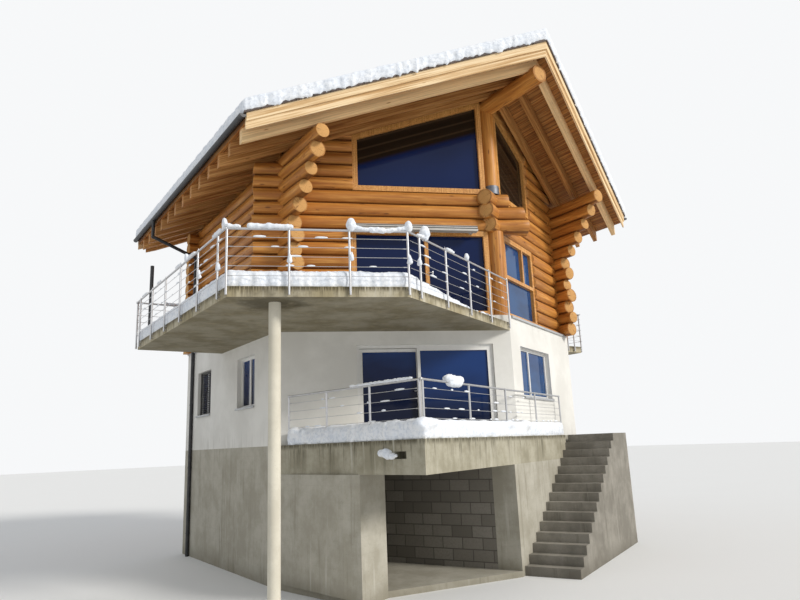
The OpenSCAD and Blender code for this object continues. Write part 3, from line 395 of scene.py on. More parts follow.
def concreteFinish(name, look, boardMarks=True, streak=5, smudge=None, top=None, fall=0.6):
    # cast concrete: cloudy tone, board marks, pores, and rain and lime stains down its upright faces,
    # strongest at its top; smudge is a place on its soffit round which it is darker
    f = Finish(name)
    x, y, z = f.local()
    spot = f.join(x, y, z)
    colour = f.mix(f.fade(f.noise(spot, 1.3, 6, 0.65), 0.36, 0.64), look["dark"], look["tone"])
    grain = f.noise(spot, 34, 3, 0.7)
    colour = f.mix(f.fade(grain, 0.45, 0.8, 0, 0.35), colour, look["dark"])
    upright = f.fade(f.facing((0, 0, 1)), 0.35, 0.1)
    # painted shade: faces that look down are darkened, as under the slabs
    looksUp = f.split(f.coords.outputs["Normal"])[2]
    colour = f.shaded(colour, f.fade(looksUp, -0.3, -0.8, 1.0, concreteLook["under"]))
    if smudge:
        away = f.tree.nodes.new("ShaderNodeVectorMath")
        away.operation = "LENGTH"
        f.put(away.inputs[0], f.join(f.minus(x, smudge[0]), f.minus(y, smudge[1]), 0.0))
        reach = f.scaled(f.noise(spot, 2.4, 4, 0.6), -0.9, away.outputs["Value"])
        colour = f.mix(f.fade(reach, 0.35, -0.1, 0, 0.75), colour, look["stain"])
    colour = f.mix(f.fade(f.noise(spot, 4.2, 5, 0.65), 0.5, 0.72, 0, 0.5), colour, look["dark"])

    fine = f.runs(x, y, z, (34, 1.6), 4, 0.65)
    low, high = look.get("drips", concreteLook["drips"])
    drips = f.fade(f.runs(x, y, z, (streak, 0.35), 5, 0.7), low, high)
    drips = f.times(drips, f.fade(fine, 0.34, 0.62, 0.25, 1))
    if top:
        start, end = concreteLook["rim"]
        drips = f.times(drips, f.fade(z, top - fall, top, 0.25, 1))
        rim = f.times(f.fade(z, top - start, top - end), f.fade(fine, 0.36, 0.54, 0.15, 0.95))
        drips = f.math("MAXIMUM", drips, rim)
    colour = f.mix(f.times(drips, f.times(upright, look["share"])), colour, look["stain"])
    lime = f.fade(f.runs(x, y, z, (streak * 1.3, 0.5), 3, 0.6), 0.6, 0.74, 0, 0.45)
    colour = f.mix(f.times(lime, upright), colour, look["lime"])
    splash = f.fade(z, concreteLook["splash"], 0.0, 0, 0.45)
    colour = f.mix(f.times(splash, upright), colour, look["stain"])
    pores = f.fade(f.cells(spot, 19), 0.13, 0.05, 0, 0.55)
    colour = f.mix(pores, colour, look["stain"])
    relief = f.minus(f.times(grain, 0.5), pores)
    if boardMarks:
        marks = f.fade(f.offHalf(f.math("FRACT", f.over(z, concreteLook["board"]))), 0.482, 0.5)
        marks = f.times(marks, upright)
        colour = f.mix(f.times(marks, 0.4), colour, look["dark"])
        relief = f.plus(relief, marks)
    f.bump(relief, 0.35, 0.006)
    return f.finish(colour, 0.86, Specular_IOR_Level=0.25)


blockLook = {"length": 0.5, "height": 0.25, "joint": 0.012, "tone": (0.29, 0.27, 0.235),
             "dark": (0.18, 0.165, 0.14), "mortar": (0.12, 0.11, 0.095)}


def blockFinish(name, turn, look=blockLook):
    # rough blockwork, in courses along the wall
    f = Finish(name)
    x, y, z = f.local((0, 0, 0), turn)
    bricks = f.tree.nodes.new("ShaderNodeTexBrick")
    f.put(bricks.inputs["Vector"], f.join(x, z, 0.0))
    for key, value in (("Scale", 1.0), ("Mortar Size", look["joint"]), ("Mortar Smooth", 0.3),
                       ("Brick Width", look["length"]), ("Row Height", look["height"])):
        f.put(bricks.inputs[key], value)
    for key, value in (("Color1", look["tone"]), ("Color2", look["dark"]), ("Mortar", look["mortar"])):
        f.put(bricks.inputs[key], (*value, 1))
    grain = f.noise(f.join(x, y, z), 22, 4, 0.7)
    colour = f.mix(f.fade(grain, 0.4, 0.75, 0, 0.5), bricks.outputs["Color"], look["dark"])
    f.bump(f.minus(f.times(grain, 0.5), bricks.outputs["Fac"]), 0.6, 0.012)
    return f.finish(colour, 0.92, Specular_IOR_Level=0.2)


renderLook = {"tone": (0.80, 0.785, 0.74), "shade": (0.70, 0.685, 0.64), "grime": (0.47, 0.45, 0.40),
              "soiled": 0.5, "footShare": 0.5, "topShare": 0.35}


def renderFinish(name, look=renderLook):
    # fine white render, a little soiled at its foot and under its top
    f = Finish(name)
    x, y, z = f.local()
    spot = f.join(x, y, z)
    swells = f.noise(spot, 0.9, 5, 0.6)
    colour = f.mix(f.fade(swells, 0.35, 0.7), look["shade"], look["tone"])
    foot = f.fade(z, plan["terrace"] + look["soiled"], plan["terrace"])
    top = f.fade(z, plan["wallTop"] - look["soiled"], plan["wallTop"])
    where = f.scaled(foot, look["footShare"], f.times(top, look["topShare"]))
    soiled = f.times(f.fade(f.runs(x, y, z, (9, 0.6), 4, 0.65), 0.48, 0.7), where)
    colour = f.mix(soiled, colour, look["grime"])
    f.bump(f.scaled(f.noise(spot, 120, 2, 0.6), 0.5, swells), 0.3, 0.004)
    return f.finish(colour, 0.9, Specular_IOR_Level=0.2)


snowLook = {"tone": (0.88, 0.90, 0.93), "hollowShade": (0.72, 0.78, 0.87), "pitShade": (0.60, 0.65, 0.73)}


def snowFinish(name, look=snowLook):
    # settled snow, with painted blue shade in its hollows and in pits on its upright faces
    f = Finish(name)
    spot = f.join(*f.local())
    lumps = f.noise(spot, 3.2, 5, 0.6)
    crumbs = f.noise(spot, 26, 4, 0.7)
    # painted shade: the hollows between the lumps turn blue
    colour = f.mix(f.fade(lumps, 0.62, 0.34, 0, 0.55), look["tone"], look["hollowShade"])
    upright = f.fade(f.facing((0, 0, 1)), 0.6, 0.25)
    # painted shade in pits on the upright faces
    shadedPits = f.fade(f.noise(spot, 17, 3, 0.65), 0.55, 0.38, 0, 0.6)
    colour = f.mix(f.times(shadedPits, upright), colour, look["pitShade"])
    f.bump(f.scaled(crumbs, 0.4, lumps), 0.5, 0.03)
    return f.finish(colour, 0.7, Specular_IOR_Level=0.25, Sheen_Weight=0.15, Sheen_Roughness=0.5)


def steelFinish(name, tone, roughness):
    # brushed tube, with water marks
    f = Finish(name)
    spot = f.join(*f.local())
    marks = f.noise(spot, 11, 4, 0.6)
    colour = f.mix(f.fade(marks, 0.5, 0.75, 0, 0.4), tone, tuple(c * 0.6 for c in tone))
    f.bump(f.noise(spot, 240, 2, 0.6), 0.15, 0.001)
    return f.finish(colour, f.scaled(marks, 0.25, roughness), 1.0)


def coatedFinish(name, tone, worn, roughness=0.45, bands=(), bandTone=(0.03, 0.025, 0.022)):
    # painted or coated sheet, dusty in patches; bands are pairs of heights between which it is dark, for a
    # dark slit or for painted shadow
    f = Finish(name)
    x, y, z = f.local()
    spot = f.join(x, y, z)
    dust = f.noise(spot, 5, 5, 0.65)
    colour = f.mix(f.fade(dust, 0.45, 0.75, 0, 0.6), tone, worn)
    for low, high in bands:
        colour = f.mix(f.between(z, low, high), colour, bandTone)
    f.bump(f.noise(spot, 90, 2, 0.6), 0.12, 0.001)
    return f.finish(colour, f.scaled(dust, 0.3, roughness - 0.12), Specular_IOR_Level=0.5)


glassLook = {"tone": (0.004, 0.014, 0.070), "sky": (0.010, 0.040, 0.16), "low": (0.004, 0.008, 0.030),
             "right": (0.020, 0.095, 0.26), "drift": (0.7, 1.6)}
highGlassLook = {**glassLook, "sky": (0.011, 0.021, 0.078)}
eavesReflectionLook = {"from": 8.9, "left": 1.12, "right": 2.9, "blur": 0.07, "gap": 0.24,
             "tone": (0.020, 0.013, 0.008), "line": (0.050, 0.032, 0.018)}


def paintEavesReflection(f, colour, look=eavesReflectionLook):
    # painted reflection of the brown eaves in gable panes below the roof, with the faint lines of its rafters
    x, _, z = f.local()
    below = f.minus(plan["deck"], f.scaled(f.math("ABSOLUTE", x), roofSlope(f, x), z))
    limit = f.scaled(f.math("GREATER_THAN", x, 0.0), look["right"] - look["left"], look["left"])
    share = f.fade(f.minus(below, limit), look["blur"], -look["blur"])
    share = f.times(share, f.math("GREATER_THAN", z, look["from"]))
    lines = f.offHalf(f.math("FRACT", f.over(below, look["gap"])))
    return f.mix(share, colour, f.mix(f.fade(lines, 0.34, 0.46), look["tone"], look["line"]))


def glassFinish(name, foot, head, eaves=False, look=glassLook):
    # dark panes with a painted reflection: darker at their feet, bluer towards their heads where the sky is
    # painted, and bluer on faces turned to the right
    f = Finish(name)
    x, y, z = f.local()
    middle = (foot + head) / 2
    drift = f.runs(x, y, z, look["drift"], 3, 0.55)
    level = f.plus(z, f.times(f.minus(drift, 0.5), 0.9))
    colour = f.mix(f.fade(level, foot, middle), look["low"], look["tone"])
    colour = f.mix(f.fade(level, middle, head), colour, look["sky"])
    # painted reflection: panes facing right get a bluer sky
    rightSide = f.fade(f.split(f.coords.outputs["Normal"])[0], 0.2, 0.3, 0, 0.7)
    colour = f.mix(f.times(rightSide, f.fade(drift, 0.3, 0.6, 0.5, 1)), colour, look["right"])
    if eaves:
        # painted reflection of the eaves in the gable panes
        colour = paintEavesReflection(f, colour)
    smears = f.noise(f.join(x, y, z), 4, 4)
    return f.finish(colour, f.fade(smears, 0.4, 0.8, 0.03, 0.10), Specular_IOR_Level=0.18)


leafLook = {"white": (0.76, 0.75, 0.72), "dusty": (0.62, 0.61, 0.58),
            "jambs": (0.600, 2.240), "pane": (3.015, 4.96)}


def leafFinish(name, look=leafLook):
    # a white door leaf, with its pane between the jambs, where a reflection of the sky is painted
    f = Finish(name)
    x, y, z = f.local((0, plan["point"], 0), -plan["sweep"])
    foot, head = look["pane"]
    inside = f.times(f.between(f.times(x, -1), *look["jambs"]), f.between(z, foot, head))
    drift = f.runs(x, y, z, glassLook["drift"], 3, 0.55)
    # painted sky reflection, bluer towards the pane's head
    pane = f.fade(f.scaled(drift, 0.8, z), foot + 0.4, head + 0.3)
    pane = f.mix(pane, glassLook["low"], glassLook["sky"])
    specks = f.noise(f.join(x, y, z), 60, 2)
    white = f.mix(f.fade(specks, 0.45, 0.8, 0, 0.3), look["white"], look["dusty"])
    return f.finish(f.mix(inside, white, pane), f.scaled(inside, -0.33, 0.38), Specular_IOR_Level=0.2)


tileLook = {"row": 0.34, "wide": 0.30, "tone": (0.16, 0.125, 0.11), "dark": (0.07, 0.055, 0.05),
            "lap": (0.02, 0.017, 0.015)}


def tileFinish(name, look=tileLook):
    f = Finish(name)
    x, y, z = f.local()
    rows = f.over(f.math("ABSOLUTE", x), look["row"])
    number = f.plus(f.math("FLOOR", rows), f.times(f.math("FLOOR", f.over(y, look["wide"])), 13))
    laps = f.fade(f.math("FRACT", rows), 0.9, 0.98)
    grain = f.noise(f.join(x, y, z), 30, 4, 0.7)
    shade = f.scaled(f.chance(number), 0.5, f.times(grain, 0.5))
    colour = f.mix(f.times(laps, 0.8), f.mix(shade, look["dark"], look["tone"]), look["lap"])
    f.bump(f.minus(f.times(grain, 0.3), laps), 0.5, 0.02)
    return f.finish(colour, 0.75, Specular_IOR_Level=0.3)


columnSpot = (Vector(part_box("balcony_column")[0]) + Vector(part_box("balcony_column")[1])) / 2
frontSeam = plan["wallTop"] - plan["logPitch"] / 2
frontAxis = (0, plan["point"] + plan["logBack"] + plan["logHalf"] / cosSweep, 0)
awningFoot, awningTop = (corner[2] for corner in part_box("balcony_awning"))
# the lower band is a dark slit in the case; the upper one is painted shadow under the timber above
awningSlitAndShadow = [[awningFoot + share * (awningTop - awningFoot) for share in band]
               for band in ((0.34, 0.58), (0.78, 0.93))]
finishes = {
    "logsFrontLeft": logFinish("logs front left", frontAxis, -plan["sweep"], seam=frontSeam),
    "logsFrontRight": logFinish("logs front right", frontAxis, plan["sweep"], seam=frontSeam),
    "logsLeft": logFinish("logs left", (plan["leftLogs"], 0, 0), math.pi / 2, seam=plan["wallTop"]),
    "logsRight": logFinish("logs right", (plan["rightLogs"], 0, 0), math.pi / 2, seam=plan["wallTop"]),
    "logsBack": logFinish("logs back", houseAt(0, plan["depth"] - plan["logHalf"]), 0.0, seam=frontSeam),
    "ridgeLog": logFinish("ridge log", (0, 0, plan["ridgeLog"]), math.pi / 2),
    "posts": logFinish("corner posts", frontAxis, 0.0, upright=True),
    "verge": boardFinish("verge boards", boardLook["verge"], straightFrom=boardLook["backVerge"]),
    "rafters": boardFinish("rafters", boardLook["rafter"], first=boardLook["sunlitFirstRafter"]),
    "soffit": boardFinish("soffit boards", boardLook["soffit"], boardLook["soffitBoard"]),
    "stained": stainedFinish("stained timber", boardLook["frame"], plan["sweep"]),
    "concrete": concreteFinish("cast concrete", concreteLook["plain"]),
    "edgeConcrete": concreteFinish("stained slab edges", concreteLook["edge"], False, 8, columnSpot,
                                   plan["balcony"], 0.25),
    "terraceConcrete": concreteFinish("terrace edge", concreteLook["terrace"], False, 6,
                                      top=plan["terrace"]),
    "stairConcrete": concreteFinish("stair concrete", concreteLook["stair"], False),
    "column": concreteFinish("pale column", concreteLook["column"], False),
    "blocks": blockFinish("blockwork", plan["sweep"] + math.pi / 2),
    "backBlocks": blockFinish("blockwork across", plan["sweep"]),
    "render": renderFinish("white render"),
    "snow": snowFinish("settled snow"),
    "steel": steelFinish("stainless tube", (0.52, 0.52, 0.53), 0.24),
    "shoe": steelFinish("galvanised steel", (0.17, 0.18, 0.20), 0.42),
    "darkMetal": coatedFinish("dark sheet", (0.020, 0.021, 0.024), (0.07, 0.07, 0.07)),
    "shutter": coatedFinish("shutter slats", (0.05, 0.048, 0.046), (0.13, 0.125, 0.12)),
    "awning": coatedFinish("awning case", (0.55, 0.53, 0.49), (0.36, 0.34, 0.31), bands=awningSlitAndShadow),
    "sheet": coatedFinish("bright sheet", (0.44, 0.45, 0.46), (0.30, 0.30, 0.30), 0.4),
    "whiteFrames": coatedFinish("white frames", leafLook["white"], leafLook["dusty"], 0.4),
    "lowGlass": glassFinish("living room panes", plan["sill"], plan["head"]),
    "highGlass": glassFinish("log storey panes", 5.2, 11.6, eaves=True, look=highGlassLook),
    "fixedLeaf": leafFinish("fixed door leaf"),
    "tiles": tileFinish("clay tiles"),
}
# the nodes that have each finish; walls and railings go by their names, the rest is plain concrete
nodesWith = {
    "logsLeft": "log_wall_left", "logsRight": "log_wall_right", "logsBack": "log_wall_back",
    "logsFrontLeft": "log_wall_front_left", "logsFrontRight": "log_wall_front_right",
    "ridgeLog": "ridge_log", "posts": "point_post_lower point_post_upper", "shoe": "post_shoe",
    "verge": "verge_boards", "rafters": "rafters_left rafters_right", "soffit": "roof_body",
    "tiles": "roof_tiles", "snow": "roof_snow floor_snow", "column": "balcony_column",
    "darkMetal": "balcony_pole roof_gutters downpipes", "shutter": "window_shutter",
    "awning": "balcony_awning", "stained": "log_window_frames", "highGlass": "log_window_glass",
    "whiteFrames": "living_window_frames terrace_door_frame terrace_door_sliding_leaf",
    "lowGlass": "living_window_glass terrace_door_sliding_glass", "fixedLeaf": "terrace_door_fixed_leaf",
    "render": "terrace_door_lintel", "blocks": "garage_wall_right", "backBlocks": "garage_wall_back",
    "edgeConcrete": "balcony_slab side_balcony_slab", "stairConcrete": "stair",
    "terraceConcrete": "terrace_slab",
}
finishOn = {node: name for name, nodes in nodesWith.items() for node in nodes.split()}
for node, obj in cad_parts.items():
    if node.startswith("living_wall"):
        name = "render"
    elif "railing" in node:
        name = "steel"
    else:
        name = finishOn.get(node, "concrete")
    obj.data.materials.clear()
    obj.data.materials.append(finishes[name])
print("finishes on", len(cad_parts), "nodes")


# helpers for new pieces

def clearSelection():
    if bpy.context.mode != "OBJECT":
        bpy.ops.object.mode_set(mode="OBJECT")
    bpy.ops.object.select_all(action="DESELECT")


def pick(obj):
    clearSelection()
    obj.select_set(True)
    bpy.context.view_layer.objects.active = obj


def settle(obj):
    # puts the piece's place, turn and size into its mesh
    pick(obj)
    bpy.ops.object.transform_apply(location=True, rotation=True, scale=True)


def mergeInto(name, parts):
    for part in parts:
        settle(part)
    clearSelection()
    for part in parts:
        part.select_set(True)
    bpy.context.view_layer.objects.active = parts[0]
    if len(parts) > 1:
        bpy.ops.object.join()
    whole = bpy.context.view_layer.objects.active
    whole.name = whole.data.name = name
    return whole


def keepInside(obj, low, high):
    for vertex in obj.data.vertices:
        vertex.co = [min(max(value, a), b) for value, a, b in zip(vertex.co, low, high)]


def deliver(obj, finish, body="house", smoothAngle=40):
    # a finished piece: inside the part's box, shaded, with its finish and body
    keepInside(obj, *cadBox)
    pick(obj)
    if smoothAngle:
        bpy.ops.object.shade_smooth_by_angle(angle=math.radians(smoothAngle))
    obj.data.materials.clear()
    obj.data.materials.append(finishes[finish])
    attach(obj, body)
    return obj


def editEdges(obj, chosen, action):
    # runs an operator in edit mode on the edges that a test picks
    pick(obj)
    bpy.ops.object.mode_set(mode="EDIT")
    mesh = bmesh.from_edit_mesh(obj.data)
    for face in mesh.faces:
        face.select = False
    for edge in mesh.edges:
        edge.select = chosen(edge)
    bmesh.update_edit_mesh(obj.data)
    action()
    bpy.ops.object.mode_set(mode="OBJECT")


def aimed(obj, start, end):
    # lays a bar that was made upright between two points
    aim = (end - start).to_track_quat("Z", "Y").to_matrix().to_4x4()
    obj.data.transform(Matrix.Translation((start + end) / 2) @ aim)
    return obj


def block(low, high, turn=0.0, at=(0, 0, 0), bevel=0.004):
    # a bevelled bar between two corners, in a frame turned about the upright at a place
    low, high = Vector(low), Vector(high)
    clearSelection()
    bpy.ops.mesh.primitive_cube_add(size=1)
    bar = bpy.context.object
    bar.data.transform(Matrix.Translation((low + high) / 2) @ Matrix.Diagonal((*(high - low), 1)))
    editEdges(bar, lambda edge: True, lambda: bpy.ops.mesh.bevel(offset=bevel, segments=2))
    bar.data.transform(Matrix.Translation(at) @ Matrix.Rotation(turn, 4, "Z"))
    return bar


def rod(start, end, radius, sides=16, bevel=0.0):
    # a round bar between two points, with eased ends
    start, end = Vector(start), Vector(end)
    clearSelection()
    bpy.ops.mesh.primitive_cylinder_add(vertices=sides, radius=radius, depth=(end - start).length)
    bar = bpy.context.object
    if bevel:
        editEdges(bar, lambda edge: abs(edge.verts[0].co.z - edge.verts[1].co.z) < 1e-6,
                  lambda: bpy.ops.mesh.bevel(offset=bevel, segments=2))
    return aimed(bar, start, end)


def thicken(obj, height):
    # raises a flat sheet into a closed body with its faces outwards
    bpy.ops.object.mode_set(mode="EDIT")
    bpy.ops.mesh.select_all(action="SELECT")
    bpy.ops.mesh.extrude_region_move(TRANSFORM_OT_translate={"value": (0, 0, height)})
    bpy.ops.mesh.select_all(action="SELECT")
    bpy.ops.mesh.normals_make_consistent(inside=False)
    bpy.ops.object.mode_set(mode="OBJECT")
    return obj


def slab(outline, low, high, lower=(), left=0.05):
    # a flat slab on an outline of plan points; some corners of its top can lie lower
    clearSelection()
    bpy.ops.mesh.primitive_circle_add(vertices=len(outline), fill_type="NGON")
    piece = bpy.context.object
    for vertex, point in zip(piece.data.vertices, outline):
        vertex.co = (point[0], point[1], low)
    thicken(piece, high - low)
    for number in lower:
        for vertex in piece.data.vertices:
            if (vertex.co.xy - outline[number].xy).length < 1e-4 and vertex.co.z > low:
                vertex.co.z = low + left
    return piece


def ball(place, size):
    clearSelection()
    bpy.ops.mesh.primitive_ico_sphere_add(subdivisions=2, radius=1)
    lump = bpy.context.object
    lump.data.transform(Matrix.Translation(place) @ Matrix.Diagonal((*size, 1)))
    return lump


def modify(obj, kind, **settings):
    pick(obj)
    modifier = obj.modifiers.new(kind.lower(), kind)
    for key, value in settings.items():
        setattr(modifier, key, value)
    bpy.ops.object.modifier_apply(modifier=modifier.name)


def clouds(name, size):
    texture = bpy.data.textures.new(name, "CLOUDS")
    texture.noise_scale, texture.noise_depth = size, 2
    return texture


def heap(obj, look):
    # turns a plain form into settled snow: rounded, then lumpy at two scales
    modify(obj, "REMESH", mode="VOXEL", voxel_size=look["voxel"], use_smooth_shade=True)
    modify(obj, "SMOOTH", factor=0.5, iterations=look["smooth"])
    for kind in ("swells", "crumbs"):
        size, strength = look[kind]
        modify(obj, "DISPLACE", texture=clouds("snow " + kind, size), texture_coords="GLOBAL",
               strength=strength, mid_level=0.55)


def deliverSnow(name, parts, look):
    snow = mergeInto(name, parts)
    heap(snow, look)
    return deliver(snow, "snow", smoothAngle=0)


def meet(p, d, q, e):
    # where the line through p along d meets the line through q along e
    return p + d * (((q - p).x * e.y - (q - p).y * e.x) / (d.x * e.y - d.y * e.x))


# logs with their natural swell and bow, in the places of the part's plain ones

logShape = {
    "sides": 20, "ring": 0.22, "over": 0.003, "swell": 0.022, "lumps": 0.020, "bow": 0.006,
    "endRun": 0.75, "endScale": (0.88, 1.15), "crossScale": (1.12, 1.26), "cutSlope": 0.16, "rim": 0.016,
    "endShift": 0.045, "swellRate": 0.8, "lumpRates": (5, 1.6), "bowRate": 0.35,
}
logPlan = {
    "plate": 12, "door": 6, "head": 7.971, "gable": 8.973,
    "doorEnd": 3.76, "windowEnd": 2.38, "gableEnd": {-1: 3.68, 1: 2.38},
    "cross": {-1: (0.90, 0.80, 0.42), 1: (0.33, 0.48, 0.52)}, "tail": {-1: 0.77, 1: 0.50},
    "courses": {-1: 16, 1: 17}, "sideTail": 0.42, "tailStep": 0.13, "corbelStep": 0.29, "corbels": 5,
    "backTail": 0.45, "openings": ((3.5, 4.5, 0, 6), (6.3, 7.5, 3, 6)),
    "board": 0.03, "boardFront": 0.49, "boardBack": 0.36, "clear": 0.003,
    "footGap": 0.001, "nearDeck": 0.25, "deckGap": 0.002,
}


def naturalLog(start, end, freeStart, freeEnd, startScale=None, look=logShape):
    # one log between two points; free ends are thicker or thinner and sawn a little askew,
    # and startScale gives the start's own range of thickness
    start, end = Vector(start), Vector(end)
    length = (end - start).length
    clearSelection()
    bpy.ops.mesh.primitive_cylinder_add(vertices=look["sides"], radius=plan["logHalf"] + look["over"],
                                        depth=length)
    log = bpy.context.object
    editEdges(log, lambda edge: abs(edge.verts[0].co.z - edge.verts[1].co.z) > length / 2,
              lambda: bpy.ops.mesh.subdivide(number_cuts=max(3, int(length / look["ring"]))))
    editEdges(log, lambda edge: all(abs(abs(v.co.z) - length / 2) < 1e-5 for v in edge.verts),
              lambda: bpy.ops.mesh.bevel(offset=look["rim"], segments=2))
    seed = Vector((random.uniform(0, 90), random.uniform(0, 90), random.uniform(0, 90)))
    free = (freeStart, freeEnd)
    scales = [random.uniform(*(startScale or look["endScale"])) if freeStart else 1.0,
              random.uniform(*look["endScale"]) if freeEnd else 1.0]
    slopes = [random.uniform(-1, 1) * look["cutSlope"] for _ in free]
    shifts = [random.uniform(-1, 0) * look["endShift"] * loose for loose in free]
    across, lengthways = look["lumpRates"]
    for vertex in log.data.vertices:
        x, y, z = vertex.co
        size = 1 + look["swell"] * noise.noise(seed + Vector((0, 0, z * look["swellRate"])))
        size += look["lumps"] * noise.noise(seed + Vector((x * across, y * across, z * lengthways)))
        for scale, away in ((scales[0], z + length / 2), (scales[1], length / 2 - z)):
            share = max(0.0, 1 - away / look["endRun"])
            size *= 1 + (scale - 1) * share * share * (3 - 2 * share)
        bow = look["bow"] * noise.noise(seed + Vector((9, 0, z * look["bowRate"])))
        near, inward = (0, -1) if z < 0 else (1, 1)
        if free[near] and abs(abs(z) - length / 2) < look["rim"] * 1.5:
            z += y * slopes[near] + inward * shifts[near]
        vertex.co = (x * size + bow, y * size, z)
    return aimed(log, start, end)


def cutAbove(log, point, normal):
    # takes away what lies on the side of a plane that its normal points to
    pick(log)
    bpy.ops.object.mode_set(mode="EDIT")
    bpy.ops.mesh.select_all(action="SELECT")
    bpy.ops.mesh.bisect(plane_co=point, plane_no=normal, use_fill=True, clear_outer=True)
    bpy.ops.object.mode_set(mode="OBJECT")


def frontLogs(side, sizes=logPlan):
    # from the openings, or over the beams from beyond the point, to the corner and past it
    logs = []
    slope = slopeOn(side)
    sideWall = abs(plan["leftLogs" if side < 0 else "rightLogs"])
    corner = (sideWall + plan["logHalf"] * sinSweep) / cosSweep
    for course in range(sizes["courses"][side]):
        z = plan["wallTop"] + course * plan["logPitch"]
        crossing = sizes["head"] < z < sizes["gable"]
        if z > sizes["gable"]:
            start = sizes["gableEnd"][side]
        elif crossing:
            start = plan["logHalf"] * tanSweep - sizes["cross"][side][course - sizes["door"] - 1]
        else:
            start = sizes["doorEnd"] if side < 0 else sizes["windowEnd"]
        free = course < sizes["plate"]
        end = corner + (sizes["tail"][side] if free else 0)
        a, b = (frontAt(side, along, -plan["logHalf"], z) + Vector((0, plan["logBack"], 0))
                for along in (start, end))
        log = naturalLog(a, b, crossing, free, logShape["crossScale"])
        if course == 0:
            cutAbove(log, (0, 0, plan["wallTop"] + sizes["footGap"]), (0, 0, -1))
        if z + sizes["nearDeck"] > plan["deck"] - abs(b.x) * slope:
            cutAbove(log, (0, 0, plan["deck"] - sizes["deckGap"]), (side * slope, 0, 1))
        logs.append(log)
    return logs


def sideLogs(side, sizes=logPlan):
    # the upper logs reach further and further forward, to carry the roof; a board closes the eaves
    logs = []
    x = plan["leftLogs"] if side < 0 else plan["rightLogs"]
    for course in range(sizes["plate"]):
        z = plan["wallTop"] + (course + 0.5) * plan["logPitch"]
        step = course - sizes["plate"] + 1 + sizes["corbels"]
        extra = step * sizes["corbelStep"] if step > 0 else course % 2 * sizes["tailStep"]
        ends = [plan["logBack"] + abs(x) * tanSweep - sizes["sideTail"] - extra]
        for start, end, low, high in sizes["openings"] if side > 0 else ():
            if low <= course < high:
                ends += [start, end]
        ends.append(plan["depth"] + sizes["backTail"])
        for number in range(0, len(ends), 2):
            logs.append(naturalLog(houseAt(x, ends[number], z), houseAt(x, ends[number + 1], z),
                                   number == 0, number + 2 == len(ends)))
    outer = abs(x) + sizes["board"]
    low = plan["wallTop"] + (sizes["plate"] - 0.5) * plan["logPitch"]
    high = plan["deck"] - outer * slopeOn(side) - sizes["clear"]
    logs.append(block(houseAt(x - sizes["board"], outer * tanSweep + sizes["boardFront"], low),
                      houseAt(x + sizes["board"], plan["depth"] - sizes["boardBack"], high)))
    return logs


def makeLogWalls():
    for name, finish, node, logs in (
            ("leftLogs", "logsLeft", "log_wall_left", sideLogs(-1)),
            ("rightLogs", "logsRight", "log_wall_right", sideLogs(1)),
            ("frontLeftLogs", "logsFrontLeft", "log_wall_front_left", frontLogs(-1)),
            ("frontRightLogs", "logsFrontRight", "log_wall_front_right", frontLogs(1))):
        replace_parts(deliver(mergeInto(name, logs), finish, smoothAngle=45), node)


makeLogWalls()
print("log walls")


# snow on the roof: a broad field, and along its edges a thicker band with a ragged foot

roofSnowLook = {"lift": 0.012, "thick": 0.265, "edge": 0.16, "voxel": 0.085, "smooth": 3,
                "swells": (0.7, 0.07), "crumbs": (0.16, 0.05)}
edgeSnowLook = {"thick": 0.285, "width": 0.42, "drop": 0.045, "in": 0.028, "voxel": 0.042, "smooth": 2,
                "swells": (0.30, 0.03), "crumbs": (0.075, 0.035), "ribs": 0.105, "ribSize": (0.035, 0.06),
                "ribShift": (0.3, 0.7), "frill": (0.00, 0.075), "flat": -0.012, "ripple": 0.016,
                "rippleRate": 1.5, "past": (0.02, 0.03, 0.06)}


def roofField(low, high, look):
    # a layer that follows both roof planes and the swept front, drawn in at its edges
    edge = look["edge"]
    clearSelection()
    bpy.ops.mesh.primitive_grid_add(x_subdivisions=36, y_subdivisions=30, size=1)
    field = bpy.context.object
    for vertex in field.data.vertices:
        x = low.x + edge + (vertex.co.x + 0.5) * (high.x - low.x - 2 * edge)
        front = low.y + edge + abs(x) * tanSweep
        y = front + (vertex.co.y + 0.5) * (high.y - edge - front)
        vertex.co = (x, y, roofHeight(x) + look["lift"])
    return thicken(field, look["thick"])


def ribsAlong(points, top, bottom, look):
    # upright lumps side by side along a line, as wind leaves a snow edge, with a ragged foot
    ribs = []
    for start, end in zip(points, points[1:]):
        count = max(1, round((end - start).length / look["ribs"]))
        for number in range(count):
            spot = start + (end - start) * ((number + random.uniform(*look["ribShift"])) / count)
            size = random.uniform(*look["ribSize"])
            foot = spot.z + bottom - random.uniform(*look["frill"])
            head = spot.z + top - size
            half = (head - foot) / 2 + size * 0.5
            ribs.append(ball((spot.x, spot.y, (foot + head) / 2), (size, size, half)))
    return ribs


def onRoof(x, y):
    return Vector((x, y, roofHeight(x)))


def makeRoofField(look):
    low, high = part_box("roof_snow")
    field = roofField(low, high, look)
    heap(field, look)
    keepInside(field, low, high)
    field.name = field.data.name = "roofSnow"
    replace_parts(deliver(field, "snow", smoothAngle=0), "roof_snow")


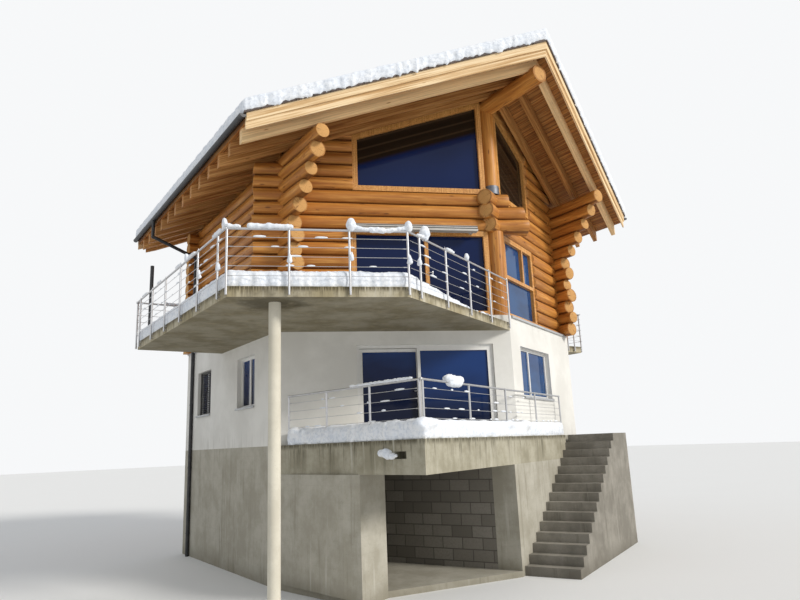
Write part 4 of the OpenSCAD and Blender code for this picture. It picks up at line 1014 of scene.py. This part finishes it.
def makeRoofEdge(look):
    low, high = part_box("roof_snow")
    inset, width, thick, drop = look["in"], look["width"], look["thick"], look["drop"]
    front, back = low.y + inset, high.y - inset
    parts, lines = [], []
    for side in (-1, 1):
        eave = (high.x if side > 0 else -low.x) - inset
        outer = [(0, front), (eave, front + eave * tanSweep), (eave, back), (0, back)]
        inner = [(0, front + width), (eave - width, outer[1][1] + width - width * tanSweep),
                 (eave - width, back - width), (0, back - width)]
        for k in range(3):
            outline = [onRoof(side * x, y) for x, y in (outer[k], outer[k + 1], inner[k + 1], inner[k])]
            band = slab(outline, 0, 1)
            for vertex in band.data.vertices:
                vertex.co.z = roofHeight(vertex.co.x) + (thick if vertex.co.z > 0.5 else -drop)
            parts.append(band)
            if side < 0 or k != 1:
                lines.append(outline[:2])
    for line in lines:
        parts.extend(ribsAlong(line, thick, -drop, look))
    edge = mergeInto("roofEdgeSnow", parts)
    heap(edge, look)
    rate = look["rippleRate"]
    for vertex in edge.data.vertices:     # wind leaves the top nearly flat
        x, y, z = vertex.co
        ripple = look["ripple"] * noise.noise(Vector((x * rate, y * rate, 0)))
        vertex.co.z = min(z, roofHeight(x) + thick + look["flat"] + ripple)
    sideways, forward, down = look["past"]
    keepInside(edge, low - Vector((sideways, forward, down)), high + Vector((sideways, forward, 0)))
    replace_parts(deliver(edge, "snow", smoothAngle=0), "roof_snow")


makeRoofField(roofSnowLook)
makeRoofEdge(edgeSnowLook)
print("roof snow")


# snow on the balcony and the terrace

balconyPlan = {"left": -7.25, "depth": 3.52, "back": 5.84, "railOut": 0.051, "railHeight": 1.05,
               "tube": 0.021, "wires": 5, "postGap": 1.2, "cornerGap": 0.35,
               "sideOut": 1.07, "sideFrom": 2.239, "sideTo": 5.839, "sideGap": 0.05}
terracePlan = {"left": 4.78, "right": 2.87, "step": 0.20, "inset": 0.06, "clear": 0.40, "postGap": 1.9,
               "turnGap": 0.03}
leftDirection = Vector((cosSweep, -sinSweep, 0))     # along the balcony's front edge, to the right
rightDirection = Vector((cosSweep, sinSweep, 0))     # along its right edge, to the wall's point


def balconyCorner(number, inset):
    # 1 is the balcony's front left corner, 2 the one where its front edge meets its right edge
    onFront = frontAt(-1, 0, balconyPlan["depth"] - inset)
    if number == 1:
        return meet(onFront, leftDirection, Vector((balconyPlan["left"] + inset, 0, 0)), Vector((0, 1, 0)))
    return meet(onFront, leftDirection, frontAt(1, 0, -inset), rightDirection)


terraceCorner = frontAt(1, -terracePlan["left"], terracePlan["step"])
houseCorner = houseAt(-plan["left"], plan["left"] * tanSweep)
terraceEdge = (terraceCorner - houseCorner).normalized()
terraceInward = Vector((-terraceEdge.y, terraceEdge.x, 0))


def terraceTurn(inset):
    # where the terrace's left edge meets its front edge, drawn in
    return meet(houseCorner + terraceInward * inset, terraceEdge,
                frontAt(1, 0, terracePlan["step"] - inset), rightDirection)


balconySnowLook = {
    "thick": 0.31, "sink": 0.03, "voxel": 0.04, "smooth": 2, "swells": (0.35, 0.035), "crumbs": (0.09, 0.03),
    "edge": 0.035, "width": 1.4, "reach": 3.2, "ribs": 0.13, "ribSize": (0.035, 0.06), "frill": (-0.02, 0.03),
    "ribShift": (0.3, 0.7), "foot": -0.02, "lastLumps": 6, "lastFrom": 0.1, "lastGap": 0.12,
    "lastSize": (0.04, 0.08), "lastIn": 0.05, "lastLift": 0.01, "lastWide": 1.5,
}
terraceSnowLook = {**balconySnowLook, "thick": 0.33, "sink": 0.02, "edge": 0.03, "width": 0.9,
                   "heaps": 46, "heapSize": (0.08, 0.16), "heapShape": (1.3, 1.3, 0.8), "heapSink": 0.45,
                   "heapIn": (0.05, 0.5), "off": 0.15, "gap": 0.02, "rise": 0.02}


def makeBalconySnow(look):
    inset, width, high = look["edge"], look["width"], plan["balcony"]
    back = balconyPlan["back"] + plan["point"] - inset
    left = balconyPlan["left"]
    outline = [Vector((left + inset, back, 0)), balconyCorner(1, inset), balconyCorner(2, inset),
               balconyCorner(2, inset) + rightDirection * look["reach"], balconyCorner(2, width),
               balconyCorner(1, width), Vector((left + width, back, 0))]
    parts = [slab(outline, high - look["sink"], high + look["thick"], lower=(3,))]
    edge = [Vector((p.x, p.y, high)) for p in outline[:3]]
    parts.extend(ribsAlong(edge, look["thick"], look["foot"], look))
    for number in range(look["lastLumps"]):
        away = look["lastFrom"] + number * look["lastGap"]
        spot = outline[3] + rightDirection * away + Vector((0, look["lastIn"], 0))
        size = random.uniform(*look["lastSize"])
        parts.append(ball((spot.x, spot.y, high + look["lastLift"]), (size * look["lastWide"], size, size)))
    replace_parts(deliverSnow("balconySnow", parts, look), "floor_snow")


def makeTerraceSnow(look):
    # lies over the terrace's very edge and round the feet of the railing
    inset, width, gap = look["edge"], look["width"], look["gap"]
    high, thick = plan["terrace"], look["thick"]
    right, step = terracePlan["right"] - inset, terracePlan["step"]
    start = houseCorner + terraceEdge * terracePlan["clear"]
    wallLine = (frontAt(-1, 0, look["off"]), leftDirection)
    outline = [start + terraceInward * inset, terraceTurn(inset), frontAt(1, right, step - inset),
               frontAt(1, right, gap), frontAt(1, gap, gap),
               meet(*wallLine, frontAt(1, 0, gap), rightDirection),
               meet(*wallLine, terraceTurn(width), rightDirection),
               terraceTurn(width), meet(*wallLine, start + terraceInward * width, terraceEdge),
               meet(*wallLine, start + terraceInward * inset, terraceInward)]
    parts = [slab(outline, high - look["sink"], high + thick)]
    edge = [Vector((p.x, p.y, high)) for p in outline[:3]]
    parts.extend(ribsAlong(edge, thick + look["rise"], look["foot"], look))
    for number in range(look["heaps"]):
        onLeft = number % 3
        start, end = outline[:2] if onLeft else outline[1:3]
        inward = terraceInward if onLeft else Vector((-sinSweep, cosSweep, 0))
        size = random.uniform(*look["heapSize"])
        spot = start.lerp(end, random.random()) + inward * random.uniform(*look["heapIn"])
        spot.z = high + thick - size * look["heapSink"]
        parts.append(ball(spot, [size * share for share in look["heapShape"]]))
    deliverSnow("terraceSnow", parts, look)


makeBalconySnow(balconySnowLook)
makeTerraceSnow(terraceSnowLook)
print("floor snow")


# railings: corners, caps, wire ends, and the snow that lies on them

def railLines():
    # each railing's ends, its floor's height, what is left free at its ends, and its posts' spacing
    out, inset = balconyPlan["railOut"], terracePlan["inset"]
    back = balconyPlan["back"] + plan["point"] + out
    gap, high, low = balconyPlan["cornerGap"], plan["balcony"], plan["terrace"]
    posts, turn, sideGap = balconyPlan["postGap"], terracePlan["turnGap"], balconyPlan["sideGap"]
    b0, b1, b2 = Vector((balconyPlan["left"] - out, back, 0)), balconyCorner(1, -out), balconyCorner(2, -out)
    b3 = frontAt(1, 0, out) - rightDirection * (out + 2 * balconyPlan["tube"])
    t0 = houseCorner + terraceEdge * terracePlan["clear"] + terraceInward * inset
    t1 = terraceTurn(inset)
    t2 = frontAt(1, terracePlan["right"] - inset, terracePlan["step"] - inset)
    s0, s1 = (houseAt(plan["right"] + balconyPlan["sideOut"] + out, y)
              for y in (balconyPlan["sideFrom"] - out, balconyPlan["sideTo"] + out))
    return {
        "left": (b0, b1, high, gap, gap, posts), "front": (b1, b2, high, 0, 0, posts),
        "right": (b2, b3, high, gap, 0, posts),
        "back": (Vector((-plan["left"], back, 0)), b0, high, gap, 0, posts),
        "terraceLeft": (t0, t1, low, 0, turn, terracePlan["postGap"]),
        "terraceRight": (t1, t2, low, turn, 0, terracePlan["postGap"]),
        "side": (s0, s1, high, sideGap, sideGap, posts),
    }


rails = railLines()
railTop, tube, wires = (balconyPlan[key] for key in ("railHeight", "tube", "wires"))


def railPoint(name, distance, height=0.0):
    start, end, base = rails[name][:3]
    spot = start + (end - start).normalized() * distance
    spot.z = base + height
    return spot


def railPosts(name):
    start, end, _, first, last, gap = rails[name]
    a, b = first + tube, (end - start).length - last - tube
    count = math.ceil((b - a) / gap)
    return [a + i * (b - a) / count for i in range(count + 1)]


fittingLook = {"collar": 0.0245, "collarLength": 0.05, "capRise": 0.03, "pin": 0.009, "tension": 0.009,
               "tensionLength": 0.075, "flange": 0.048, "flangeHigh": 0.010, "flangeLift": 0.001,
               "corner": 1.15, "cornerTall": 1.08, "collarBevel": 0.004, "bevel": 0.003}


def makeFittings(look):
    parts = []
    for name, (start, end, base, *_) in rails.items():
        along = (end - start).normalized()
        posts = railPosts(name)
        for distance in posts:
            spot = railPoint(name, distance, railTop - tube)
            half = along * look["collarLength"] / 2
            parts.append(rod(spot - half, spot + half, look["collar"], 14, look["collarBevel"]))
            if base == plan["terrace"]:
                foot = railPoint(name, distance, look["flangeLift"])
                head = foot + Vector((0, 0, look["flangeHigh"]))
                parts.append(rod(foot, head, look["flange"], 20, look["bevel"]))
            else:
                head = spot + Vector((0, 0, tube + look["capRise"]))
                parts.append(rod(spot, head, look["pin"], 10, look["bevel"]))
        for distance, way in ((posts[0], along), (posts[-1], -along)):
            for number in range(1, wires + 1):
                spot = railPoint(name, distance, railTop * number / (wires + 1))
                parts.append(rod(spot + way * tube, spot + way * (tube + look["tensionLength"]),
                                 look["tension"], 8))
    for name, key in (("front", 0), ("front", 1), ("terraceRight", 0), ("left", 0)):
        corner = rails[name][key].copy()
        corner.z = rails[name][2] + railTop - tube
        clearSelection()
        bpy.ops.mesh.primitive_uv_sphere_add(segments=16, ring_count=10,
                                             radius=look["collar"] * look["corner"])
        knob = bpy.context.object
        knob.data.transform(Matrix.Translation(corner) @ Matrix.Diagonal((1, 1, look["cornerTall"], 1)))
        parts.append(knob)
    deliver(mergeInto("railFittings", parts), "steel")


makeFittings(fittingLook)

# where snow lies on the rails: railing, from, to, height over the floor, thickness
railSnowLook = {
    "top": [("front", 0.05, 0.22, 1.06, 0.055), ("front", 0.42, 1.12, 1.065, 0.075),
            ("front", 2.55, 2.78, 1.06, 0.05),
            ("left", 0.6, 1.0, 1.06, 0.035), ("left", 2.0, 2.3, 1.06, 0.04), ("left", 3.5, 3.9, 1.06, 0.045),
            ("left", 4.4, 4.75, 1.06, 0.045), ("left", 5.9, 6.3, 1.06, 0.05),
            ("right", 0.35, 0.6, 1.055, 0.045), ("right", 1.55, 1.8, 1.055, 0.05),
            ("terraceLeft", 2.1, 3.75, 1.055, 0.04), ("terraceRight", 1.0, 1.5, 1.07, 0.10),
            ("terraceRight", 1.1, 1.45, 1.0, 0.10),
            ("side", 0.6, 1.3, 1.055, 0.045), ("side", 2.2, 2.9, 1.055, 0.05),
            ("back", 0.7, 1.5, 1.055, 0.05)],
    "balls": [("front", 2.20, 0.10, 0.17), ("front", 3.26, 0.085, 0.15), ("right", 0.05, 0.06, 0.1),
              ("right", 0.62, 0.115, 0.21), ("right", 2.45, 0.06, 0.12), ("left", 6.45, 0.075, 0.17),
              ("left", 4.2, 0.07, 0.12)],
    "ballLumps": ((0.15, 0.7), (0.5, 1.0), (0.85, 0.8)),
    "posts": [("front", 1.1, 0.45, 0.055), ("front", 2.2, 0.5, 0.05), ("front", 3.26, 0.45, 0.06),
              ("right", 0.37, 0.5, 0.055), ("left", 6.15, 0.4, 0.06), ("left", 5.1, 0.5, 0.05)],
    "postLumps": ((0, 1), (0.05, 0.85), (0.1, 0.5)), "postTall": 0.9,
    "topStep": 0.8, "topSize": (0.75, 1.1), "topRise": 0.25, "topFlat": 0.85,
    "rope": ("front", 2.24, 3.2, 1.10, 0.06, 0.05), "ropeSteps": 24, "ropeSize": (0.8, 1.1),
    "voxel": 0.017, "smooth": 2, "swells": (0.07, 0.02), "crumbs": (0.03, 0.012),
}
wireSnowLook = {"share": 0.35, "length": (0.06, 0.30), "thick": (0.012, 0.022), "from": (0.1, 0.6),
                "gap": (0.05, 0.35), "endGap": 0.4, "lowest": 0.3,
                "rails": ("front", "left", "right", "terraceLeft", "terraceRight")}


def makeRailSnow(look):
    parts = []
    for name, start, end, height, thick in look["top"]:
        steps = max(2, int((end - start) / (thick * look["topStep"])))
        for i in range(steps + 1):
            size = thick * random.uniform(*look["topSize"])
            spot = railPoint(name, start + (end - start) * i / steps, height + size * look["topRise"])
            parts.append(ball(spot, (size, size, size * look["topFlat"])))
    for name, distance, width, rise in look["balls"]:
        for share, size in look["ballLumps"]:
            parts.append(ball(railPoint(name, distance, railTop + rise * share), (width * size,) * 3))
    for name, distance, height, thick in look["posts"]:
        for rise, size in look["postLumps"]:
            place = railPoint(name, distance, height + rise)
            parts.append(ball(place, (thick * size, thick * size, thick * look["postTall"])))
    name, start, end, height, sag, thick = look["rope"]     # the bridge that sags between two posts
    for i in range(look["ropeSteps"] + 1):
        share = i / look["ropeSteps"]
        drop = sag * 4 * share * (1 - share)
        size = thick * random.uniform(*look["ropeSize"])
        parts.append(ball(railPoint(name, start + (end - start) * share, height - drop), (size,) * 3))
    deliverSnow("railSnow", parts, look)


def makeWireSnow(look):
    parts = []
    for name in look["rails"]:
        run = rails[name][1] - rails[name][0]
        turn = Matrix.Rotation(math.atan2(run.y, run.x), 4, "Z")
        for number in range(1, wires + 1):
            height = railTop * number / (wires + 1)
            distance = random.uniform(*look["from"])
            while distance < run.length - look["endGap"]:
                piece = random.uniform(*look["length"])
                if random.random() < look["share"] and height > look["lowest"]:
                    thick = random.uniform(*look["thick"])
                    lump = ball((0, 0, 0), (piece / 2, thick, thick))
                    spot = railPoint(name, distance + piece / 2, height + thick * 0.8)
                    lump.data.transform(Matrix.Translation(spot) @ turn)
                    parts.append(lump)
                distance += piece + random.uniform(*look["gap"])
    deliver(mergeInto("wireSnow", parts), "snow", smoothAngle=60)


makeRailSnow(railSnowLook)
makeWireSnow(wireSnowLook)
print("railing fittings and snow")


# windows, door, shutter and flashings

livingWindows = {     # where each white wall's windows start and end
    "left": [(3.50, 4.65), (6.69, 7.84)], "right": [(2.60, 3.75), (5.60, 6.75)],
    "back": [(1.50, 3.00), (5.90, 7.40)], "front": [(0.59, 2.69)],
}
wallFrames = {     # a wall's start and turn, with x along it and y inwards, and -1 where it is mirrored
    "left": (houseAt(-plan["left"], 0), math.pi / 2, -1),
    "right": (houseAt(plan["right"], 0), math.pi / 2, 1),
    "back": (houseAt(plan["right"], plan["depth"]), math.pi, 1),
    "front": (houseAt(0, 0), plan["sweep"], 1),
}


def onWall(wall, low, high, bevel=0.004):
    # a bar in a wall's own frame, mirrored where the wall faces left
    place, turn, hand = wallFrames[wall]
    if hand < 0:
        low, high = (low[0], -high[1], low[2]), (high[0], -low[1], high[2])
    return block(low, high, turn, place, bevel)


sillLook = {"out": 0.045, "back": 0.118, "thick": 0.016, "drop": 0.035, "side": 0.02, "lip": 0.006,
            "gap": 0.002, "lift": 0.0015}


def makeSills(look):
    # a plate in the opening, and the bent lip in front of it
    parts = []
    out, lip, side, gap, z = look["out"], look["lip"], look["side"], look["gap"], plan["sill"]
    top = z + look["thick"]
    for wall, windows in livingWindows.items():
        for start, end in windows:
            parts.append(onWall(wall, (start + gap, -out, z + look["lift"]), (end - gap, look["back"], top)))
            parts.append(onWall(wall, (start - side, -out - lip, z - look["drop"]),
                                (end + side, -out + lip, top)))
    deliver(mergeInto("windowSills", parts), "sheet")


# a strip's run says its wall, where it starts and ends, and how far in it reaches
flashingLook = {"runs": (("front", 0.14, 4.40, 0.078), ("right", 1.95, 8.86, 0.02),
                         ("left", 5.95, 8.86, 0.09)),
                "out": 0.03, "thick": 0.008, "drop": 0.05, "lift": 0.0015, "bevel": 0.002}


def makeFlashings(look):
    # bent strips that carry the rain over the white walls' tops
    parts = []
    out, thick, bevel, z = look["out"], look["thick"], look["bevel"], plan["wallTop"]
    for wall, start, end, inner in look["runs"]:
        parts.append(onWall(wall, (start, -out, z + look["lift"]), (end, inner, z + thick), bevel))
        parts.append(onWall(wall, (start, -out - thick, z - look["drop"]), (end, -out, z + thick), bevel))
    deliver(mergeInto("wallFlashings", parts), "sheet")


shutterLook = {"slats": 22, "tilt": 32, "frame": 0.045, "thick": 0.038, "slat": 0.004, "bevel": 0.0015}


def makeShutter(look):
    # louvres in a frame, in front of the far left window
    low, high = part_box("window_shutter")
    border = look["frame"]
    left, right = low.y + border, high.y - border
    parts = [block((low.x, y0, z0), (high.x, y1, z1)) for y0, y1, z0, z1 in (
        (low.y, left, low.z, high.z), (right, high.y, low.z, high.z),
        (left, right, low.z, low.z + border), (left, right, high.z - border, high.z))]
    pitch = (high.z - low.z - 2 * border) / look["slats"]
    tilt = Matrix.Rotation(math.radians(look["tilt"]), 4, "Y")
    for number in range(look["slats"]):
        slat = block((-look["thick"] / 2, left, -look["slat"] / 2),
                     (look["thick"] / 2, right, look["slat"] / 2), bevel=look["bevel"])
        place = ((low.x + high.x) / 2, 0, low.z + border + (number + 0.5) * pitch)
        slat.data.transform(Matrix.Translation(place) @ tilt)
        parts.append(slat)
    for vertex in [v for part in parts for v in part.data.vertices]:
        vertex.co.x = min(max(vertex.co.x, low.x), high.x)
    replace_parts(deliver(mergeInto("shutterLouvres", parts), "shutter"), "window_shutter")


handleLook = {"plate": (0.028, 0.008, 0.15), "lever": 0.011, "neck": 0.8, "length": 0.12, "past": 0.01,
              "stand": 0.045, "rise": 0.03, "bevels": (0.003, 0.004),
              "terrace": frontAt(-1, 2.283, -0.158, 4.0), "balcony": frontAt(-1, 1.81, -0.15, 6.85)}


def makeHandle(name, place, body, look=handleLook):
    # a backplate, a neck and a lever, on a leaf of the left front wall
    wide, thick, tall = look["plate"]
    stand, rise = look["stand"], look["rise"]
    plateBevel, leverBevel = look["bevels"]
    parts = [block((-wide / 2, -thick, -tall / 2), (wide / 2, 0, tall / 2), bevel=plateBevel),
             rod((0, -thick, rise), (0, -stand, rise), look["lever"] * look["neck"], 12),
             rod((look["past"], -stand, rise), (-look["length"], -stand, rise), look["lever"], 14,
                 leverBevel)]
    handle = mergeInto(name, parts)
    handle.data.transform(Matrix.Translation(place) @ Matrix.Rotation(-plan["sweep"], 4, "Z"))
    deliver(handle, "steel", body)


makeSills(sillLook)
makeFlashings(flashingLook)
makeShutter(shutterLook)
makeHandle("terraceDoorHandle", handleLook["terrace"], "sliding_leaf")
makeHandle("balconyDoorHandle", handleLook["balcony"], "house")
print("sills, flashings, shutter and handles")


# gutter straps, pipe clamps, shoe bolts and the snow in the drain

gutterLook = {"runs": {-1: 6.37, 1: 6.06}, "wide": 0.15, "below": 0.11, "from": -1.67, "to": -0.2,
              "gap": 0.72, "strap": 0.024, "thick": 0.004, "rimRun": 0.06, "inner": 0.002, "clear": 0.001,
              "bevel": 0.001}


def makeGutterStraps(look):
    parts = []
    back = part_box("roof_gutters")[1].y + look["to"]
    for side, run in look["runs"].items():
        rim = plan["ridge"] - look["below"] - (run + look["rimRun"]) * slopeOn(side) + look["clear"]
        x0, x1 = sorted((side * (run + look["inner"]), side * (run + look["wide"] - look["clear"])))
        y = plan["point"] + run * tanSweep + look["from"]
        while y < back:
            parts.append(block((x0, y, rim), (x1, y + look["strap"], rim + look["thick"]),
                               bevel=look["bevel"]))
            y += look["gap"]
    deliver(mergeInto("gutterStraps", parts), "darkMetal")


clampLook = {"radius": 0.056, "high": 0.035, "heights": (0.6, 2.4, 4.2, 6.0, 7.6), "stem": 0.012,
             "stemFrom": 0.05, "pipeOut": 0.0563, "pipeBack": 0.63, "offWall": 0.0005, "bevel": 0.004}


def makePipeClamps(look):
    parts = []
    y = plan["point"] + plan["depth"] - look["pipeBack"]
    for side, wall in ((-1, plan["left"]), (1, plan["right"])):
        x = side * (wall + look["pipeOut"])
        for z in look["heights"]:
            middle = z + look["high"] / 2
            parts.append(rod((x, y, z), (x, y, z + look["high"]), look["radius"], 24, look["bevel"]))
            if z < plan["wallTop"]:
                parts.append(rod((x - side * look["stemFrom"], y, middle),
                                 (side * (wall + look["offWall"]), y, middle), look["stem"], 10))
    deliver(mergeInto("pipeClamps", parts), "darkMetal")


boltLook = {"head": 0.017, "high": 0.012, "rows": (0.05, 0.17), "count": 4, "turn": 45, "sink": 0.002,
            "bevel": 0.002}


def makeShoeBolts(look):
    low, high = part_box("post_shoe")
    centre, radius = (low + high) / 2, (high.x - low.x) / 2
    parts = []
    for rise in look["rows"]:
        for number in range(look["count"]):
            angle = math.radians(look["turn"] + 360 * number / look["count"])
            outward = Vector((math.cos(angle), math.sin(angle), 0))
            foot = Vector((centre.x, centre.y, low.z + rise)) + outward * (radius - look["sink"])
            parts.append(rod(foot, foot + outward * look["high"], look["head"], 6, look["bevel"]))
    deliver(mergeInto("shoeBolts", parts), "shoe", smoothAngle=30)


drainLook = {"lumps": ((0.0, 0.0, 0.0, 0.12), (0.14, 0.01, 0.03, 0.10), (-0.13, 0.02, -0.03, 0.085),
                       (0.04, 0.03, 0.05, 0.09), (-0.21, 0.02, -0.02, 0.05)),
             "from": 0.88, "out": 0.03, "height": 2.66,
             "voxel": 0.022, "smooth": 3, "swells": (0.12, 0.03), "crumbs": (0.04, 0.015)}


def makeDrainSnow(look):
    # the snow that hangs in the drain hole of the terrace edge
    parts = []
    turn = Matrix.Rotation(math.atan2(-terraceEdge.y, -terraceEdge.x), 3, "Z")
    place = terraceCorner - terraceEdge * look["from"] - terraceInward * look["out"]
    for x, y, z, size in look["lumps"]:
        spot = place + turn @ Vector((x, y, 0))
        parts.append(ball((spot.x, spot.y, look["height"] + z), (size, size * 0.7, size * 0.8)))
    deliverSnow("drainSnow", parts, look)


makeGutterStraps(gutterLook)
makePipeClamps(clampLook)
makeShoeBolts(boltLook)
makeDrainSnow(drainLook)
print("straps, clamps, bolts and drain")


# the room round the chalet

stageLook = {"floor": (0.80, 0.80, 0.79), "backdrop": (0.93, 0.94, 0.95), "fill": 0.62,
             "fillTone": (0.93, 0.96, 1.0), "keyPower": 2.5, "keyTone": (1.0, 0.965, 0.91),
             "keyAngle": 14, "keyFrom": (0.42, -0.80, 0.50), "size": 300}


def makeFloor(look):
    clearSelection()
    bpy.ops.mesh.primitive_plane_add(size=look["size"])
    floor = bpy.context.object
    floor.name = "floor"
    f = Finish("pale floor")
    patches = f.noise(f.join(*f.local()), 0.4, 3)
    colour = f.mix(patches, look["floor"], tuple(c * 0.98 for c in look["floor"]))
    floor.data.materials.append(f.finish(colour, 0.9))


def makeLight(look):
    world = bpy.data.worlds.new("studio")
    bpy.context.scene.world = world
    world.use_nodes = True
    nodes, links = world.node_tree.nodes, world.node_tree.links
    nodes.clear()
    path = nodes.new("ShaderNodeLightPath")
    seen = path.outputs["Is Camera Ray"]
    for ray in ("Is Glossy Ray", "Is Transmission Ray"):
        either = nodes.new("ShaderNodeMath")
        either.operation = "MAXIMUM"
        links.new(seen, either.inputs[0])
        links.new(path.outputs[ray], either.inputs[1])
        seen = either.outputs[0]
    mixed, output = nodes.new("ShaderNodeMixShader"), nodes.new("ShaderNodeOutputWorld")
    links.new(seen, mixed.inputs[0])
    for socket, tone, strength in ((mixed.inputs[1], look["fillTone"], look["fill"]),
                                   (mixed.inputs[2], look["backdrop"], 1.0)):
        shade = nodes.new("ShaderNodeBackground")
        shade.inputs["Color"].default_value = (*tone, 1)
        shade.inputs["Strength"].default_value = strength
        links.new(shade.outputs[0], socket)
    links.new(mixed.outputs[0], output.inputs[0])
    key = bpy.data.lights.new("key", "SUN")
    key.energy, key.angle, key.color = look["keyPower"], math.radians(look["keyAngle"]), look["keyTone"]
    lamp = bpy.data.objects.new("key", key)
    bpy.context.collection.objects.link(lamp)
    lamp.rotation_euler = Vector(look["keyFrom"]).to_track_quat("Z", "Y").to_euler()
    bpy.context.scene.view_settings.view_transform = "Standard"


makeFloor(stageLook)
makeLight(stageLook)
print("stage ready")

clearSelection()
